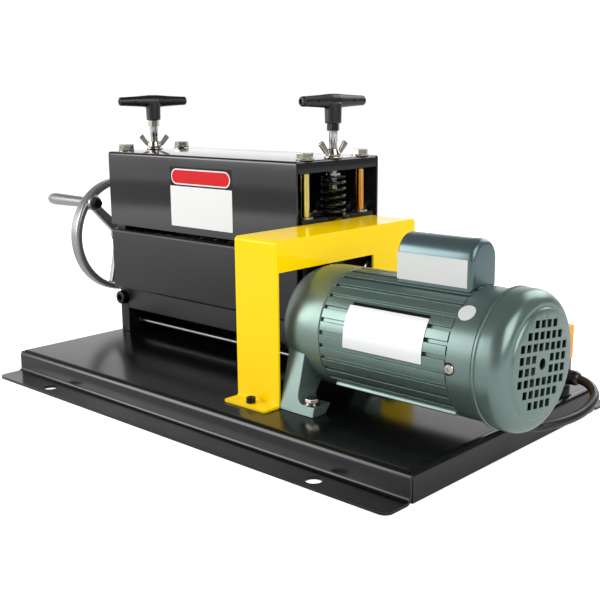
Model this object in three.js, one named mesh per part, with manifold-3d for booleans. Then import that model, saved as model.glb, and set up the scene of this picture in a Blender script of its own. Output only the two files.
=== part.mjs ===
// Electric wire stripping machine: a bench-top head with a row of slitting discs over a grooved
// feed roller, a chain drive under a yellow guard, a geared motor and a hand crank.
// Millimetres, +Z up, feed side towards -Y, motor towards +X, table at Z = 0.
import * as THREE from 'three';
import { mergeVertices } from 'three/addons/utils/BufferGeometryUtils.js';
import Module from 'manifold-3d';

const wasm = await Module();
wasm.setup();

// Shared clearances and overruns
const fit = { gap: 0.3, runningGap: 0.3, overrun: 2 };
const halfTurn = Math.PI;
const fullTurn = 2 * Math.PI;
const quarterTurn = Math.PI / 2;
const halfShare = 1 / 2;

// Driving sizes of the base pan: one folded steel sheet with a flange along each long side
const base = {
  length: 620, width: 340, height: 29.5, sheet: 3, bend: 2.5, flange: 32.5, flangeCorner: 9,
  seam: 1.2, holeRadius: 8.5, holeSpacing: 430, holeInset: 18.5,
};

// Driving sizes of the stripping head
const head = {
  left: -298.6, right: 43.6, centreY: 45, depth: 143, top: 274.4, feedAxisZ: 150,
  slotBottom: 171.8, slotHeight: 6.7, coverSheet: 2.5, lipHeight: 13, coverStandOff: 9,
};
const sidePlate = { thickness: 17, top: 208.5 };
const lowerCover = { bottom: 91.9 };

// Driving sizes of the motor
const motor = {
  axisY: -46.2, axisZ: 109.6, radius: 62.8, gearFront: 90.2, finStart: 150, finEnd: 300.5,
  coverStart: 329.3, coverFace: 362.3, coverRadius: 66.9,
};
const capacitor = {
  start: 214, end: 300, width: 41, top: 216, capLength: 13, seamProud: 0.8, sink: 3.2,
};

// Driving sizes of the chain drive
const chain = {
  pitch: 9.525, rollerRadius: 3.1, centreX: 77, innerWidth: 5.8, plate: 2.2, plateHalfHeight: 3.9,
  fused: 0.2,
};
const sprocket = { feedTeeth: 24, motorTeeth: 12, thickness: 5, tipHeight: 1.9, hubRadius: 21, hubLength: 15 };

// Driving sizes of the feed and blade shafts
const feed = { shaftRadius: 12.5, rollerRadius: 23, rollerSideGap: 5, grooveDepth: 3, grooveHalf: 5 };
const blade = {
  count: 11, pitch: 27, radius: 19, thickness: 3, bevel: 2.2, shaftRadius: 9, spacerRadius: 13,
  restGap: 1.6, sides: 10,
};

const headMiddleX = (head.left + head.right) / 2;
const headFront = head.centreY - head.depth / 2;
const headRear = head.centreY + head.depth / 2;
const plateFront = headFront + head.coverStandOff;
const plateRear = headRear - head.coverStandOff;
const plateLeftX = head.left + sidePlate.thickness / 2;
const plateRightX = head.right - sidePlate.thickness / 2;
const insideLeft = head.left + sidePlate.thickness;
const insideRight = head.right - sidePlate.thickness;
const slotTop = head.slotBottom + head.slotHeight;
const bladeAxisZ = head.feedAxisZ + feed.rollerRadius + blade.restGap + blade.radius;
const baseTop = base.height;
const seatZ = baseTop + fit.gap;

// Helpers that turn three.js geometry into solids and back
function solidOf(geometry) {
  const bare = geometry.clone();
  bare.deleteAttribute('normal');
  bare.deleteAttribute('uv');
  const merged = mergeVertices(bare, 1e-4);
  const kept = [];
  const index = merged.index.array;
  for (let i = 0; i < index.length; i += 3) {
    const [a, b, c] = [index[i], index[i + 1], index[i + 2]];
    if (a !== b && b !== c && c !== a) kept.push(a, b, c);
  }
  return new wasm.Manifold(new wasm.Mesh({
    numProp: 3,
    vertProperties: new Float32Array(merged.attributes.position.array),
    triVerts: new Uint32Array(kept),
  }));
}

function geometryOf(solid) {
  const mesh = solid.getMesh();
  const geometry = new THREE.BufferGeometry();
  geometry.setAttribute('position', new THREE.BufferAttribute(new Float32Array(mesh.vertProperties), 3));
  geometry.setIndex(new THREE.BufferAttribute(new Uint32Array(mesh.triVerts), 1));
  geometry.computeVertexNormals();
  return geometry;
}

function joined(...solids) {
  return solids.flat().reduce((whole, next) => whole.add(next));
}

function cutBy(solid, ...cutters) {
  return cutters.flat().reduce((rest, next) => rest.subtract(next), solid);
}

function block(x0, x1, y0, y1, z0, z1) {
  const geometry = new THREE.BoxGeometry(x1 - x0, y1 - y0, z1 - z0);
  geometry.translate((x0 + x1) / 2, (y0 + y1) / 2, (z0 + z1) / 2);
  return solidOf(geometry);
}

// A closed outline in the plane across an axis, pushed from one place on that axis to another
function prism(axis, outline, from, to) {
  const drawn = () => new THREE.Shape(outline.map(([u, v]) => new THREE.Vector2(u, v)));
  const shape = outline instanceof THREE.Shape ? outline : drawn();
  const geometry = new THREE.ExtrudeGeometry(shape, {
    depth: to - from, bevelEnabled: false, curveSegments: 5,
  });
  geometry.translate(0, 0, from);
  return solidOf(turnZTo(axis, geometry));
}

// Z becomes the named axis; outline u, v become the other two axes in X, Y, Z order
function turnZTo(axis, geometry) {
  if (axis === 'x') {
    geometry.rotateX(quarterTurn);
    geometry.rotateZ(quarterTurn);
  }
  if (axis === 'y') {
    geometry.rotateX(quarterTurn);
    geometry.scale(1, -1, 1);
    flipFaces(geometry);
  }
  return geometry;
}

function flipFaces(geometry) {
  const flat = geometry.index ? geometry.toNonIndexed() : geometry;
  const place = flat.attributes.position;
  for (let i = 0; i < place.count; i += 3) {
    const keep = [place.getX(i + 1), place.getY(i + 1), place.getZ(i + 1)];
    place.setXYZ(i + 1, place.getX(i + 2), place.getY(i + 2), place.getZ(i + 2));
    place.setXYZ(i + 2, ...keep);
  }
  geometry.index = null;
  geometry.setAttribute('position', place);
}

// A profile of [along, radius] pairs turned about an axis line through the centre
function revolved(axis, profile, sides, centre) {
  const last = profile[profile.length - 1];
  const onAxis = profile[0][1] === 0 && last[1] === 0;
  const loop = onAxis ? profile : [...profile, profile[0]];
  const points = loop.map(([along, radius]) => new THREE.Vector2(radius, along));
  const geometry = new THREE.LatheGeometry(points, sides);
  if (axis === 'x') geometry.rotateZ(-quarterTurn);
  if (axis === 'z') geometry.rotateX(quarterTurn);
  geometry.translate(...centre);
  return outward(geometry);
}

function outward(geometry) {
  const solid = solidOf(geometry);
  if (solid.volume() > 0) return solid;
  flipFaces(geometry);
  return solidOf(geometry);
}

function rod(axis, centre, radius, from, to, sides = 20) {
  return revolved(axis, [[from, 0], [from, radius], [to, radius], [to, 0]], sides, centre);
}

function ring(axis, centre, inner, outer, from, to, sides = 20) {
  return revolved(axis, [[from, inner], [from, outer], [to, outer], [to, inner]], sides, centre);
}

// Radius of a many-sided bore whose flats still clear a round of the given radius
function boreFor(radius, sides = 20, clearance = fit.runningGap) {
  return (radius + clearance) / Math.cos(halfTurn / sides);
}

function acrossX(y, z) {
  return [0, y, z];
}

function acrossZ(x, y) {
  return [x, y, 0];
}

function moved(solid, x, y, z) {
  return solid.translate([x, y, z]);
}

// Outline of a folded sheet of even thickness along a centre line with rounded bends
function foldedSheet(path, thickness, insideBend, stepsPerBend = 2) {
  const radius = insideBend + thickness / 2;
  const left = [];
  const right = [];
  const put = (x, y, dx, dy) => {
    left.push([x - dy * thickness / 2, y + dx * thickness / 2]);
    right.push([x + dy * thickness / 2, y - dx * thickness / 2]);
  };
  const headings = path.slice(1).map(([x, y], i) => {
    const length = Math.hypot(x - path[i][0], y - path[i][1]);
    return [(x - path[i][0]) / length, (y - path[i][1]) / length];
  });
  put(...path[0], ...headings[0]);
  for (let i = 1; i < path.length - 1; i += 1) {
    const before = headings[i - 1];
    const after = headings[i];
    const turn = Math.atan2(before[0] * after[1] - before[1] * after[0], before[0] * after[0] + before[1] * after[1]);
    const side = Math.sign(turn);
    const reach = radius * Math.tan(Math.abs(turn) / 2);
    const startX = path[i][0] - before[0] * reach;
    const startY = path[i][1] - before[1] * reach;
    const centreX = startX - side * before[1] * radius;
    const centreY = startY + side * before[0] * radius;
    for (let step = 0; step <= stepsPerBend; step += 1) {
      const angle = turn * step / stepsPerBend;
      const dx = before[0] * Math.cos(angle) - before[1] * Math.sin(angle);
      const dy = before[0] * Math.sin(angle) + before[1] * Math.cos(angle);
      put(centreX + side * dy * radius, centreY - side * dx * radius, dx, dy);
    }
  }
  put(...path[path.length - 1], ...headings[headings.length - 1]);
  return [...right, ...left.reverse()];
}

const group = new THREE.Group();
const machine = new THREE.Group();
group.add(machine);

const finishes = {
  blackPowder: { color: 0x2b2c2e, roughness: 0.38, metalness: 0.2 },
  yellowPaint: { color: 0xffd400, roughness: 0.32, metalness: 0.05 },
  greenPaint: { color: 0x6c807c, roughness: 0.4, metalness: 0.1 },
  steel: { color: 0xb9bbbd, roughness: 0.3, metalness: 1 },
  zinc: { color: 0xd8c15a, roughness: 0.28, metalness: 1 },
  darkSteel: { color: 0x3c3d40, roughness: 0.45, metalness: 0.8 },
  bronze: { color: 0xa8763c, roughness: 0.4, metalness: 1 },
  castGrey: { color: 0x9a9c9e, roughness: 0.42, metalness: 0.7 },
  blackPlastic: { color: 0x2a2b2d, roughness: 0.5, metalness: 0 },
  greyPlastic: { color: 0x6f7072, roughness: 0.5, metalness: 0 },
  yellowPlastic: { color: 0xf7b512, roughness: 0.4, metalness: 0 },
  greenPlastic: { color: 0x1f9d4d, roughness: 0.35, metalness: 0 },
  redPlastic: { color: 0xc8201c, roughness: 0.35, metalness: 0 },
  cordBlack: { color: 0x1b1b1c, roughness: 0.6, metalness: 0 },
};

function addPart(name, solid, finish) {
  const part = new THREE.Mesh(geometryOf(solid), new THREE.MeshStandardMaterial(finish));
  part.name = name;
  machine.add(part);
}

// Fasteners shared by several places
const m10 = { flats: 17, headHeight: 6.4, washerRadius: 10.5, washer: 2 };
const m8 = { flats: 13, headHeight: 5.3, washerRadius: 8.5, washer: 1.6, shank: 4 };
const m6 = { socketRadius: 5, headHeight: 6, hexFlats: 5, hexDepth: 3, shank: 3, nutFlats: 10, nutHeight: 5 };

function hexRadius(flats) {
  return flats / 2 / Math.cos(halfTurn / 6);
}

function hexagon(axis, centre, flats, from, to) {
  return rod(axis, centre, hexRadius(flats), from, to, 6);
}

// Base pan
function basePan() {
  const half = base.width / 2 - base.sheet / 2;
  const low = base.sheet / 2;
  const high = base.height - base.sheet / 2;
  const tip = base.width / 2 + base.flange;
  const path = [[-tip, low], [-half, low], [-half, high], [half, high], [half, low], [tip, low]];
  const channel = prism('x', foldedSheet(path, base.sheet, base.bend), -base.length / 2, base.length / 2);
  const flapHalf = base.width / 2 - base.sheet - base.seam;
  const bendReach = base.sheet + base.bend;
  const end = base.length / 2;
  const parts = [];
  const cuts = [];
  for (const side of [-1, 1]) {
    const flapPath = [
      [side * (end - bendReach - fit.overrun), high],
      [side * (end - base.sheet / 2), high],
      [side * (end - base.sheet / 2), 0],
    ];
    const cutEnds = [side * (end - bendReach), side * (end + fit.overrun)].sort((a, b) => a - b);
    cuts.push(block(...cutEnds, -flapHalf - base.seam, flapHalf + base.seam, high - base.bend, base.height + fit.overrun));
    parts.push(prism('y', foldedSheet(flapPath, base.sheet, base.bend), -flapHalf, flapHalf));
    for (const edge of [-1, 1]) {
      cuts.push(rod('z', acrossZ(side * base.holeSpacing / 2, edge * (base.width / 2 + base.holeInset)),
        base.holeRadius, -fit.overrun, base.sheet + fit.overrun, 16));
      cuts.push(flangeCornerCut(side * end, edge * tip, side, edge));
    }
  }
  for (const bolt of [...footBoltPlaces(), ...guardScrewPlaces()]) {
    cuts.push(rod('z', acrossZ(bolt.x, bolt.y), bolt.size.shank + fit.gap, high - base.sheet,
      base.height + fit.overrun, 8));
  }
  return joined(cutBy(channel, cuts), parts);
}

// Wedge that rounds one corner of a flange
function flangeCornerCut(x, y, sideX, sideY) {
  const r = base.flangeCorner;
  const square = block(...ordered(x - sideX * r, x + sideX * fit.overrun),
    ...ordered(y - sideY * r, y + sideY * fit.overrun), -fit.overrun, base.sheet + fit.overrun);
  const round = rod('z', acrossZ(x - sideX * r, y - sideY * r), r, -fit.overrun, base.sheet + fit.overrun, 12);
  return square.subtract(round);
}

function ordered(a, b) {
  return a < b ? [a, b] : [b, a];
}

// Side plates with a bearing bore and an open slot for the sliding block
const feedBearing = { outer: 21, width: 15, recess: 1, ringWall: 3 };
const slideBlock = { width: 38, below: 13.6, above: 14.7, cheek: 3, cheekOverlap: 4 };
const tieRod = { radius: 2.6, inset: 18, height: 44.3, nutFlats: 8, nutWidth: 4 };
const crossbar = {
  thickness: 12, bottom: 63.5, height: 40, boltLow: 11.5, boltPitch: 19, rearInset: 5,
};
const blockBottom = bladeAxisZ - slideBlock.below;
const blockTop = bladeAxisZ + slideBlock.above;

function sidePlateAt(middleX) {
  const from = middleX - sidePlate.thickness / 2;
  const to = middleX + sidePlate.thickness / 2;
  const reach = [from - fit.overrun, to + fit.overrun];
  const plate = block(from, to, plateFront, plateRear, seatZ, sidePlate.top);
  const slotHalf = slideBlock.width / 2 + fit.gap;
  const cuts = [
    block(...reach, head.centreY - slotHalf, head.centreY + slotHalf, blockBottom - fit.gap,
      sidePlate.top + fit.overrun),
    rod('x', feedCentre, boreFor(feedBearing.outer, 16), ...reach, 16),
  ];
  for (const y of tieRodPlaces()) cuts.push(rod('x', acrossX(y, tieRod.height), boreFor(tieRod.radius, 6), ...reach, 6));
  for (const y of crossbarFronts().map((front) => front + crossbar.thickness / 2)) {
    for (const z of crossbarBoltHeights()) cuts.push(rod('x', acrossX(y, z), boreFor(m8.shank, 6), ...reach, 6));
  }
  for (const side of [-1, 1]) {
    const at = acrossZ(middleX, head.centreY + side * pillar.spacing / 2);
    cuts.push(rod('z', at, boreFor(pillar.studRadius, 8), sidePlate.top - pillar.studDepth - fit.gap,
      sidePlate.top + fit.overrun, 8));
  }
  return cutBy(plate, cuts);
}

function tieRodPlaces() {
  return [plateFront + tieRod.inset, plateRear - tieRod.inset];
}

function crossbarFronts() {
  return [plateFront, plateRear - crossbar.thickness - crossbar.rearInset];
}

function crossbarBoltHeights() {
  return [0, 1].map((step) => crossbar.bottom + crossbar.boltLow + step * crossbar.boltPitch);
}

// Bar between the side plates, held by two bolts through each of them
function crossbarAt(frontY) {
  const bar = block(insideLeft + fit.gap, insideRight - fit.gap, frontY, frontY + crossbar.thickness,
    crossbar.bottom, crossbar.bottom + crossbar.height);
  const y = frontY + crossbar.thickness / 2;
  const bolts = [];
  for (const z of crossbarBoltHeights()) {
    for (const [face, outwards] of [[head.left, -1], [head.right, 1]]) {
      const at = acrossX(y, z);
      const seat = face + outwards * fit.gap;
      bolts.push(
        hexagon('x', at, m8.flats, ...ordered(seat, seat + outwards * m8.headHeight)),
        rod('x', at, m8.shank, ...ordered(face - outwards * (sidePlate.thickness + fit.overrun), seat), 6),
      );
    }
  }
  return joined(bar, bolts);
}

function tieRodAt(y) {
  const at = acrossX(y, tieRod.height);
  const outLeft = head.left - fit.gap;
  const outRight = head.right + fit.gap;
  return joined(
    rod('x', at, tieRod.radius, outLeft - tieRod.nutWidth, outRight + tieRod.nutWidth, 8),
    hexagon('x', at, tieRod.nutFlats, outLeft - tieRod.nutWidth, outLeft),
    hexagon('x', at, tieRod.nutFlats, outRight, outRight + tieRod.nutWidth),
    hexagon('x', at, tieRod.nutFlats, insideLeft + fit.gap, insideLeft + fit.gap + tieRod.nutWidth),
    hexagon('x', at, tieRod.nutFlats, insideRight - fit.gap - tieRod.nutWidth, insideRight - fit.gap),
  );
}

// Ball bearing drawn as its two rings with a sunk shield between them on its outer side
function bearing(centre, inner, outer, face, outwards, sides) {
  const bore = boreFor(inner, sides);
  const sunk = face - outwards * feedBearing.recess;
  const back = face - outwards * feedBearing.width;
  const wall = feedBearing.ringWall;
  return revolved('x', [
    [back, bore], [back, outer], [face, outer], [face, outer - wall], [sunk, outer - wall],
    [sunk, bore + wall], [face, bore + wall], [face, bore],
  ], sides, centre);
}

function feedBearingAt(plateX, outwards) {
  const face = plateX + outwards * feedBearing.width / 2;
  return bearing(feedCentre, feed.shaftRadius, feedBearing.outer, face, outwards, 16);
}

// Pillars that hold the top plate over the side plates
const pillar = {
  radius: 4.8, studRadius: 4, studDepth: 22, spacing: 95.6, washerRadius: 9, washer: 2.4, sides: 8,
};
const topPlate = { thickness: 11.4, sideGap: 0.9 };
const hoodInnerTop = head.top - head.coverSheet;
const topPlateTop = hoodInnerTop - fit.gap;
const topPlateBottom = topPlateTop - topPlate.thickness;

function pillarPlaces() {
  const places = [];
  for (const x of [plateLeftX, plateRightX]) {
    for (const side of [-1, 1]) places.push([x, head.centreY + side * pillar.spacing / 2]);
  }
  return places;
}

// Pillar with its foot washer, and its thinner ends in the side plate and through the top plate
function pillarAt([x, y]) {
  const foot = sidePlate.top + fit.gap;
  const shoulder = topPlateBottom - fit.gap;
  const washerLow = head.top + fit.gap;
  const headLow = washerLow + m10.washer;
  const at = acrossZ(x, y);
  const turned = revolved('z', [
    [sidePlate.top - pillar.studDepth, 0], [sidePlate.top - pillar.studDepth, pillar.studRadius], [foot, pillar.studRadius],
    [foot, pillar.washerRadius], [foot + pillar.washer, pillar.washerRadius], [foot + pillar.washer, pillar.radius],
    [shoulder, pillar.radius], [shoulder, pillar.studRadius], [washerLow, pillar.studRadius],
    [washerLow, m10.washerRadius], [headLow, m10.washerRadius], [headLow, 0],
  ], pillar.sides, at);
  return joined(turned, hexagon('z', at, m10.flats, headLow, headLow + m10.headHeight));
}

// Top plate, drilled for the head bolts and tapped for the two pressure screws
const screw = {
  radius: 5, tip: 236, collarRadius: 8.5, collarHeight: 2.8, washerRadius: 14, washer: 2, headLow: 305.5, headHeight: 7.6,
  headFlats: 13, spigotRadius: 3.5, spigotLength: 17, threadSides: 12,
};

function topPlateSolid() {
  const plate = block(head.left + head.coverSheet + topPlate.sideGap, head.right - head.coverSheet - topPlate.sideGap,
    headFront + head.coverSheet + topPlate.sideGap, headRear - head.coverSheet - topPlate.sideGap,
    topPlateBottom, topPlateTop);
  const cuts = topHoles(topPlateBottom - fit.overrun, topPlateTop + fit.overrun);
  return cutBy(plate, cuts);
}

function topHoles(from, to) {
  const studBore = boreFor(pillar.studRadius, pillar.sides);
  const bolts = pillarPlaces().map(([x, y]) => rod('z', acrossZ(x, y), studBore, from, to, pillar.sides));
  const screws = [plateLeftX, plateRightX].map((x) => rod('z', acrossZ(x, head.centreY),
    boreFor(screw.radius, screw.threadSides), from, to, screw.threadSides));
  return [...bolts, ...screws];
}

// Hood: one folded sheet with long front and rear walls and a short lip at each end
const hoodBend = { inside: 1.2, seam: 0.8 };

function hood() {
  const s = head.coverSheet;
  const high = head.top - s / 2;
  const path = [[headFront + s / 2, slotTop], [headFront + s / 2, high], [headRear - s / 2, high], [headRear - s / 2, slotTop]];
  const channel = prism('x', foldedSheet(path, s, hoodBend.inside), head.left, head.right);
  const lipFront = headFront + s + hoodBend.seam;
  const lipRear = headRear - s - hoodBend.seam;
  const reach = s + hoodBend.inside;
  const cuts = [];
  const lips = [];
  for (const [end, outwards] of [[head.left, -1], [head.right, 1]]) {
    cuts.push(block(...ordered(end - outwards * reach, end + outwards * fit.overrun), lipFront - hoodBend.seam,
      lipRear + hoodBend.seam, high - reach, head.top + fit.overrun));
    lips.push(prism('y', foldedSheet([
      [end - outwards * (reach + fit.overrun), high],
      [end - outwards * s / 2, high],
      [end - outwards * s / 2, head.top - head.lipHeight],
    ], s, hoodBend.inside), lipFront, lipRear));
  }
  const folded = joined(cutBy(channel, cuts), lips);
  return cutBy(folded, topHoles(head.top - s - fit.overrun, head.top + fit.overrun));
}

// Lower cover: a shallow folded tray in front of the side plates, and the same behind
function lowerCoverSolid(faceY, inwards) {
  const s = head.coverSheet;
  const edge = faceY + inwards * (head.coverStandOff - fit.gap);
  const skin = faceY + inwards * s / 2;
  const path = [
    [edge, lowerCover.bottom + s / 2], [skin, lowerCover.bottom + s / 2],
    [skin, head.slotBottom - s / 2], [edge, head.slotBottom - s / 2],
  ];
  return prism('x', foldedSheet(path, s, hoodBend.inside), head.left, head.right);
}

// Feed guide: a shelf with ribs that lead each wire to its disc
const guide = { top: 166, thickness: 4, depth: 20, ribThickness: 4, ribHeight: 5.2, ribDepth: 14, tongue: 6 };

function wireGuide() {
  const front = plateFront + fit.gap;
  const shelf = block(insideLeft + fit.gap, insideRight - fit.gap, front, front + guide.depth,
    guide.top - guide.thickness, guide.top);
  const ribs = [];
  for (let i = 0; i <= blade.count; i += 1) {
    const x = bladeX(i) - blade.pitch / 2;
    ribs.push(block(x - guide.ribThickness / 2, x + guide.ribThickness / 2, front, front + guide.ribDepth,
      guide.top - guide.thickness / 2, guide.top + guide.ribHeight));
  }
  return joined(shelf, ribs);
}

function bladeX(i) {
  return headMiddleX + (i - (blade.count - 1) / 2) * blade.pitch;
}

// Feed shaft, grooved feed roller, hand wheel and crank
const wheel = {
  near: -367, width: 18, radius: 81.3, rimThickness: 9, rimRound: 2.5, hubRadius: 15.5, hubFar: -380.5, hubNear: -352,
  spokeWidth: 15, spokeTipWidth: 11, spokeThickness: 9, crankAngle: 135.6, crankRadius: 70, bossRadius: 10.5,
  bossProud: 4,
};
const feedEnds = { left: -380.5, right: 92, nutFlats: 15, nutWidth: 7, washer: 2, washerRadius: 9 };
const grip = { length: 90, radius: 8.6, tipRadius: 6.4, neckRadius: 7.4, pinRadius: 4, headRadius: 5.5, nutFlats: 13 };
const feedCentre = acrossX(head.centreY, head.feedAxisZ);
const wheelFar = wheel.near - wheel.width;

function feedShaft() {
  return revolved('x', [
    [feedEnds.left, 0], [feedEnds.left, feed.shaftRadius - fit.overrun / 2],
    [feedEnds.left + fit.overrun, feed.shaftRadius], [feedEnds.right - fit.overrun, feed.shaftRadius],
    [feedEnds.right, feed.shaftRadius - fit.overrun / 2], [feedEnds.right, 0],
  ], 24, feedCentre);
}

function feedRoller() {
  const from = insideLeft + feed.rollerSideGap;
  const to = insideRight - feed.rollerSideGap;
  const outer = [];
  for (let i = 0; i < blade.count; i += 1) {
    const x = bladeX(i);
    outer.push([x - feed.grooveHalf, feed.rollerRadius], [x, feed.rollerRadius - feed.grooveDepth],
      [x + feed.grooveHalf, feed.rollerRadius]);
  }
  const bore = boreFor(feed.shaftRadius, 10);
  return revolved('x', [[from, bore], [from, feed.rollerRadius], ...outer, [to, feed.rollerRadius], [to, bore]],
    10, feedCentre);
}

function crankPlace() {
  const angle = THREE.MathUtils.degToRad(wheel.crankAngle);
  const crankY = head.centreY + wheel.crankRadius * Math.cos(angle);
  return acrossX(crankY, head.feedAxisZ + wheel.crankRadius * Math.sin(angle));
}

function handWheel() {
  const inner = wheel.radius - wheel.rimThickness;
  const r = wheel.rimRound;
  const rim = revolved('x', [
    [wheelFar, inner], [wheelFar, wheel.radius - r], [wheelFar + r, wheel.radius],
    [wheel.near - r, wheel.radius], [wheel.near, wheel.radius - r], [wheel.near, inner],
  ], 28, feedCentre);
  const hub = rod('x', feedCentre, wheel.hubRadius, wheel.hubFar, wheel.hubNear, 24);
  const middle = (wheel.near + wheelFar) / 2;
  const spokes = [0, 1, 2].map((i) => {
    const outline = [
      [-wheel.spokeWidth / 2, 0], [wheel.spokeWidth / 2, 0],
      [wheel.spokeTipWidth / 2, inner + r], [-wheel.spokeTipWidth / 2, inner + r],
    ];
    const bar = prism('x', outline, middle - wheel.spokeThickness / 2, middle + wheel.spokeThickness / 2);
    const upright = bar.rotate([wheel.crankAngle + i * 120 - 90, 0, 0]);
    return moved(upright, ...feedCentre);
  });
  const boss = rod('x', crankPlace(), wheel.bossRadius, wheelFar, wheel.near + wheel.bossProud, 16);
  const shaftHole = rod('x', feedCentre, boreFor(feed.shaftRadius, 24), wheelFar - fit.overrun,
    wheel.hubNear + fit.overrun, 24);
  const pinHole = rod('x', crankPlace(), boreFor(grip.pinRadius, 8), wheelFar - fit.overrun,
    wheel.near + wheel.bossProud + fit.overrun, 8);
  return cutBy(joined(rim, hub, spokes, boss), shaftHole, pinHole);
}

// Cap nut and washer that hold the wheel on the shaft
function wheelNut() {
  const washerFar = feedEnds.left - fit.gap;
  const nutFar = washerFar - feedEnds.washer;
  return joined(
    rod('x', feedCentre, feedEnds.washerRadius, nutFar, washerFar, 18),
    hexagon('x', feedCentre, feedEnds.nutFlats, nutFar - feedEnds.nutWidth, nutFar),
  );
}

function crankPin() {
  const at = crankPlace();
  const gripNear = wheelFar - fit.gap;
  const tip = gripNear - grip.length + grip.headRadius;
  const nutNear = wheel.near + wheel.bossProud + fit.gap;
  return joined(
    rod('x', at, grip.pinRadius, tip, nutNear + m8.headHeight, 8),
    hexagon('x', at, grip.nutFlats, nutNear, nutNear + m8.headHeight),
  );
}

function crankGrip() {
  const near = wheelFar - fit.gap;
  const far = near - grip.length;
  const pocket = near - grip.length + grip.headRadius - fit.gap;
  const bore = boreFor(grip.pinRadius, 12);
  return revolved('x', [
    [far, 0], [far, grip.tipRadius - fit.overrun], [far + fit.overrun, grip.tipRadius],
    [far + grip.length * gripShares.belly, grip.radius], [near - grip.length * gripShares.neck, grip.neckRadius],
    [near, grip.neckRadius], [near, bore], [pocket, bore], [pocket, 0],
  ], 12, crankPlace());
}

// Where along its length the grip is fullest, and where its neck starts
const gripShares = { belly: 0.12, neck: 0.12 };

// Blade shaft with slitting discs held apart by spacers, in two sliding blocks
const bladeCentre = acrossX(head.centreY, bladeAxisZ);

function bladeShaft() {
  return rod('x', bladeCentre, blade.shaftRadius, head.left + fit.gap, head.right - fit.gap, 20);
}

// Slitting discs with a bevel on both sides of their edge, and the spacers between them
function bladeStack() {
  const half = blade.thickness / 2;
  const inset = slideBlock.cheek + fit.gap * 2;
  const [from, to] = [insideLeft + inset, insideRight - inset];
  const bore = boreFor(blade.shaftRadius, blade.sides);
  const profile = [[from, bore], [from, blade.spacerRadius]];
  for (let i = 0; i < blade.count; i += 1) {
    const x = bladeX(i);
    profile.push(
      [x - half, blade.spacerRadius], [x - half / 2, blade.radius - blade.bevel], [x, blade.radius],
      [x + half / 2, blade.radius - blade.bevel], [x + half, blade.spacerRadius],
    );
  }
  profile.push([to, blade.spacerRadius], [to, bore]);
  return revolved('x', profile, blade.sides, bladeCentre);
}

function slidingBlock(plateX, inwards) {
  const half = sidePlate.thickness / 2 - fit.gap;
  const width = slideBlock.width / 2;
  const core = block(plateX - half, plateX + half, head.centreY - width, head.centreY + width, blockBottom, blockTop);
  const face = plateX + inwards * (sidePlate.thickness / 2 + fit.gap);
  const cheekHalf = width + slideBlock.cheekOverlap;
  const cheek = block(...ordered(face, face + inwards * slideBlock.cheek), head.centreY - cheekHalf,
    head.centreY + cheekHalf, blockBottom, blockTop);
  const bridge = block(...ordered(plateX, face + inwards * slideBlock.cheek / 2), head.centreY - width,
    head.centreY + width, blockBottom, blockTop);
  const hole = rod('x', bladeCentre, boreFor(blade.shaftRadius, 20), plateX - sidePlate.thickness,
    plateX + sidePlate.thickness, 20);
  return joined(core, cheek, bridge).subtract(hole);
}

// Pressure springs: one unbroken wire each, closed at both ends
const spring = { outerRadius: 15, wireRadius: 1.8, top: 252.2, closedTurns: 1, closedPitch: 4.15, openPitch: 8.4 };

const pressureWasherTop = spring.top + fit.gap + screw.washer;

function springPath(x) {
  const mean = spring.outerRadius - spring.wireRadius;
  const low = blockTop + fit.gap + spring.wireRadius;
  const rise = spring.top - spring.wireRadius - low;
  const closedRise = spring.closedTurns * spring.closedPitch;
  const openRise = rise - 2 * closedRise;
  const openTurns = openRise / spring.openPitch;
  const turns = openTurns + 2 * spring.closedTurns;
  const stepsPerTurn = 8;
  const count = Math.round(turns * stepsPerTurn);
  const points = [];
  for (let i = 0; i <= count; i += 1) {
    const turn = turns * i / count;
    const lower = Math.min(turn, spring.closedTurns) * spring.closedPitch;
    const middle = THREE.MathUtils.clamp(turn - spring.closedTurns, 0, openTurns) * spring.openPitch;
    const upper = Math.max(turn - spring.closedTurns - openTurns, 0) * spring.closedPitch;
    const angle = turn * fullTurn;
    points.push(new THREE.Vector3(
      x + mean * Math.cos(angle), head.centreY + mean * Math.sin(angle), low + lower + middle + upper,
    ));
  }
  return points;
}

// A tube of flat-faced rings along points, closed by a cap at each end
function wireTube(points, radius, sides) {
  const place = [];
  const index = [];
  let across = new THREE.Vector3(0, 0, 1);
  points.forEach((point, i) => {
    const ahead = points[Math.min(i + 1, points.length - 1)].clone();
    const heading = ahead.sub(points[Math.max(i - 1, 0)]).normalize();
    across = across.clone().addScaledVector(heading, -across.dot(heading)).normalize();
    const third = new THREE.Vector3().crossVectors(heading, across);
    for (let s = 0; s < sides; s += 1) {
      const angle = fullTurn * s / sides;
      const spot = point.clone().addScaledVector(across, radius * Math.cos(angle));
      spot.addScaledVector(third, radius * Math.sin(angle));
      place.push(spot.x, spot.y, spot.z);
    }
  });
  for (let i = 0; i < points.length - 1; i += 1) {
    for (let s = 0; s < sides; s += 1) {
      const a = i * sides + s;
      const b = i * sides + (s + 1) % sides;
      index.push(a, b, b + sides, a, b + sides, a + sides);
    }
  }
  const last = (points.length - 1) * sides;
  for (let s = 1; s < sides - 1; s += 1) {
    index.push(0, s + 1, s);
    index.push(last, last + s, last + s + 1);
  }
  const geometry = new THREE.BufferGeometry();
  geometry.setAttribute('position', new THREE.Float32BufferAttribute(place, 3));
  geometry.setIndex(index);
  return outward(geometry);
}

function leastGapToItself(points, radius, stepsPerTurn) {
  let least = Infinity;
  for (let i = 0; i < points.length; i += 1) {
    for (let j = i + Math.floor(stepsPerTurn / 2); j < points.length; j += 1) {
      least = Math.min(least, points[i].distanceTo(points[j]) - 2 * radius);
    }
  }
  return least;
}

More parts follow.
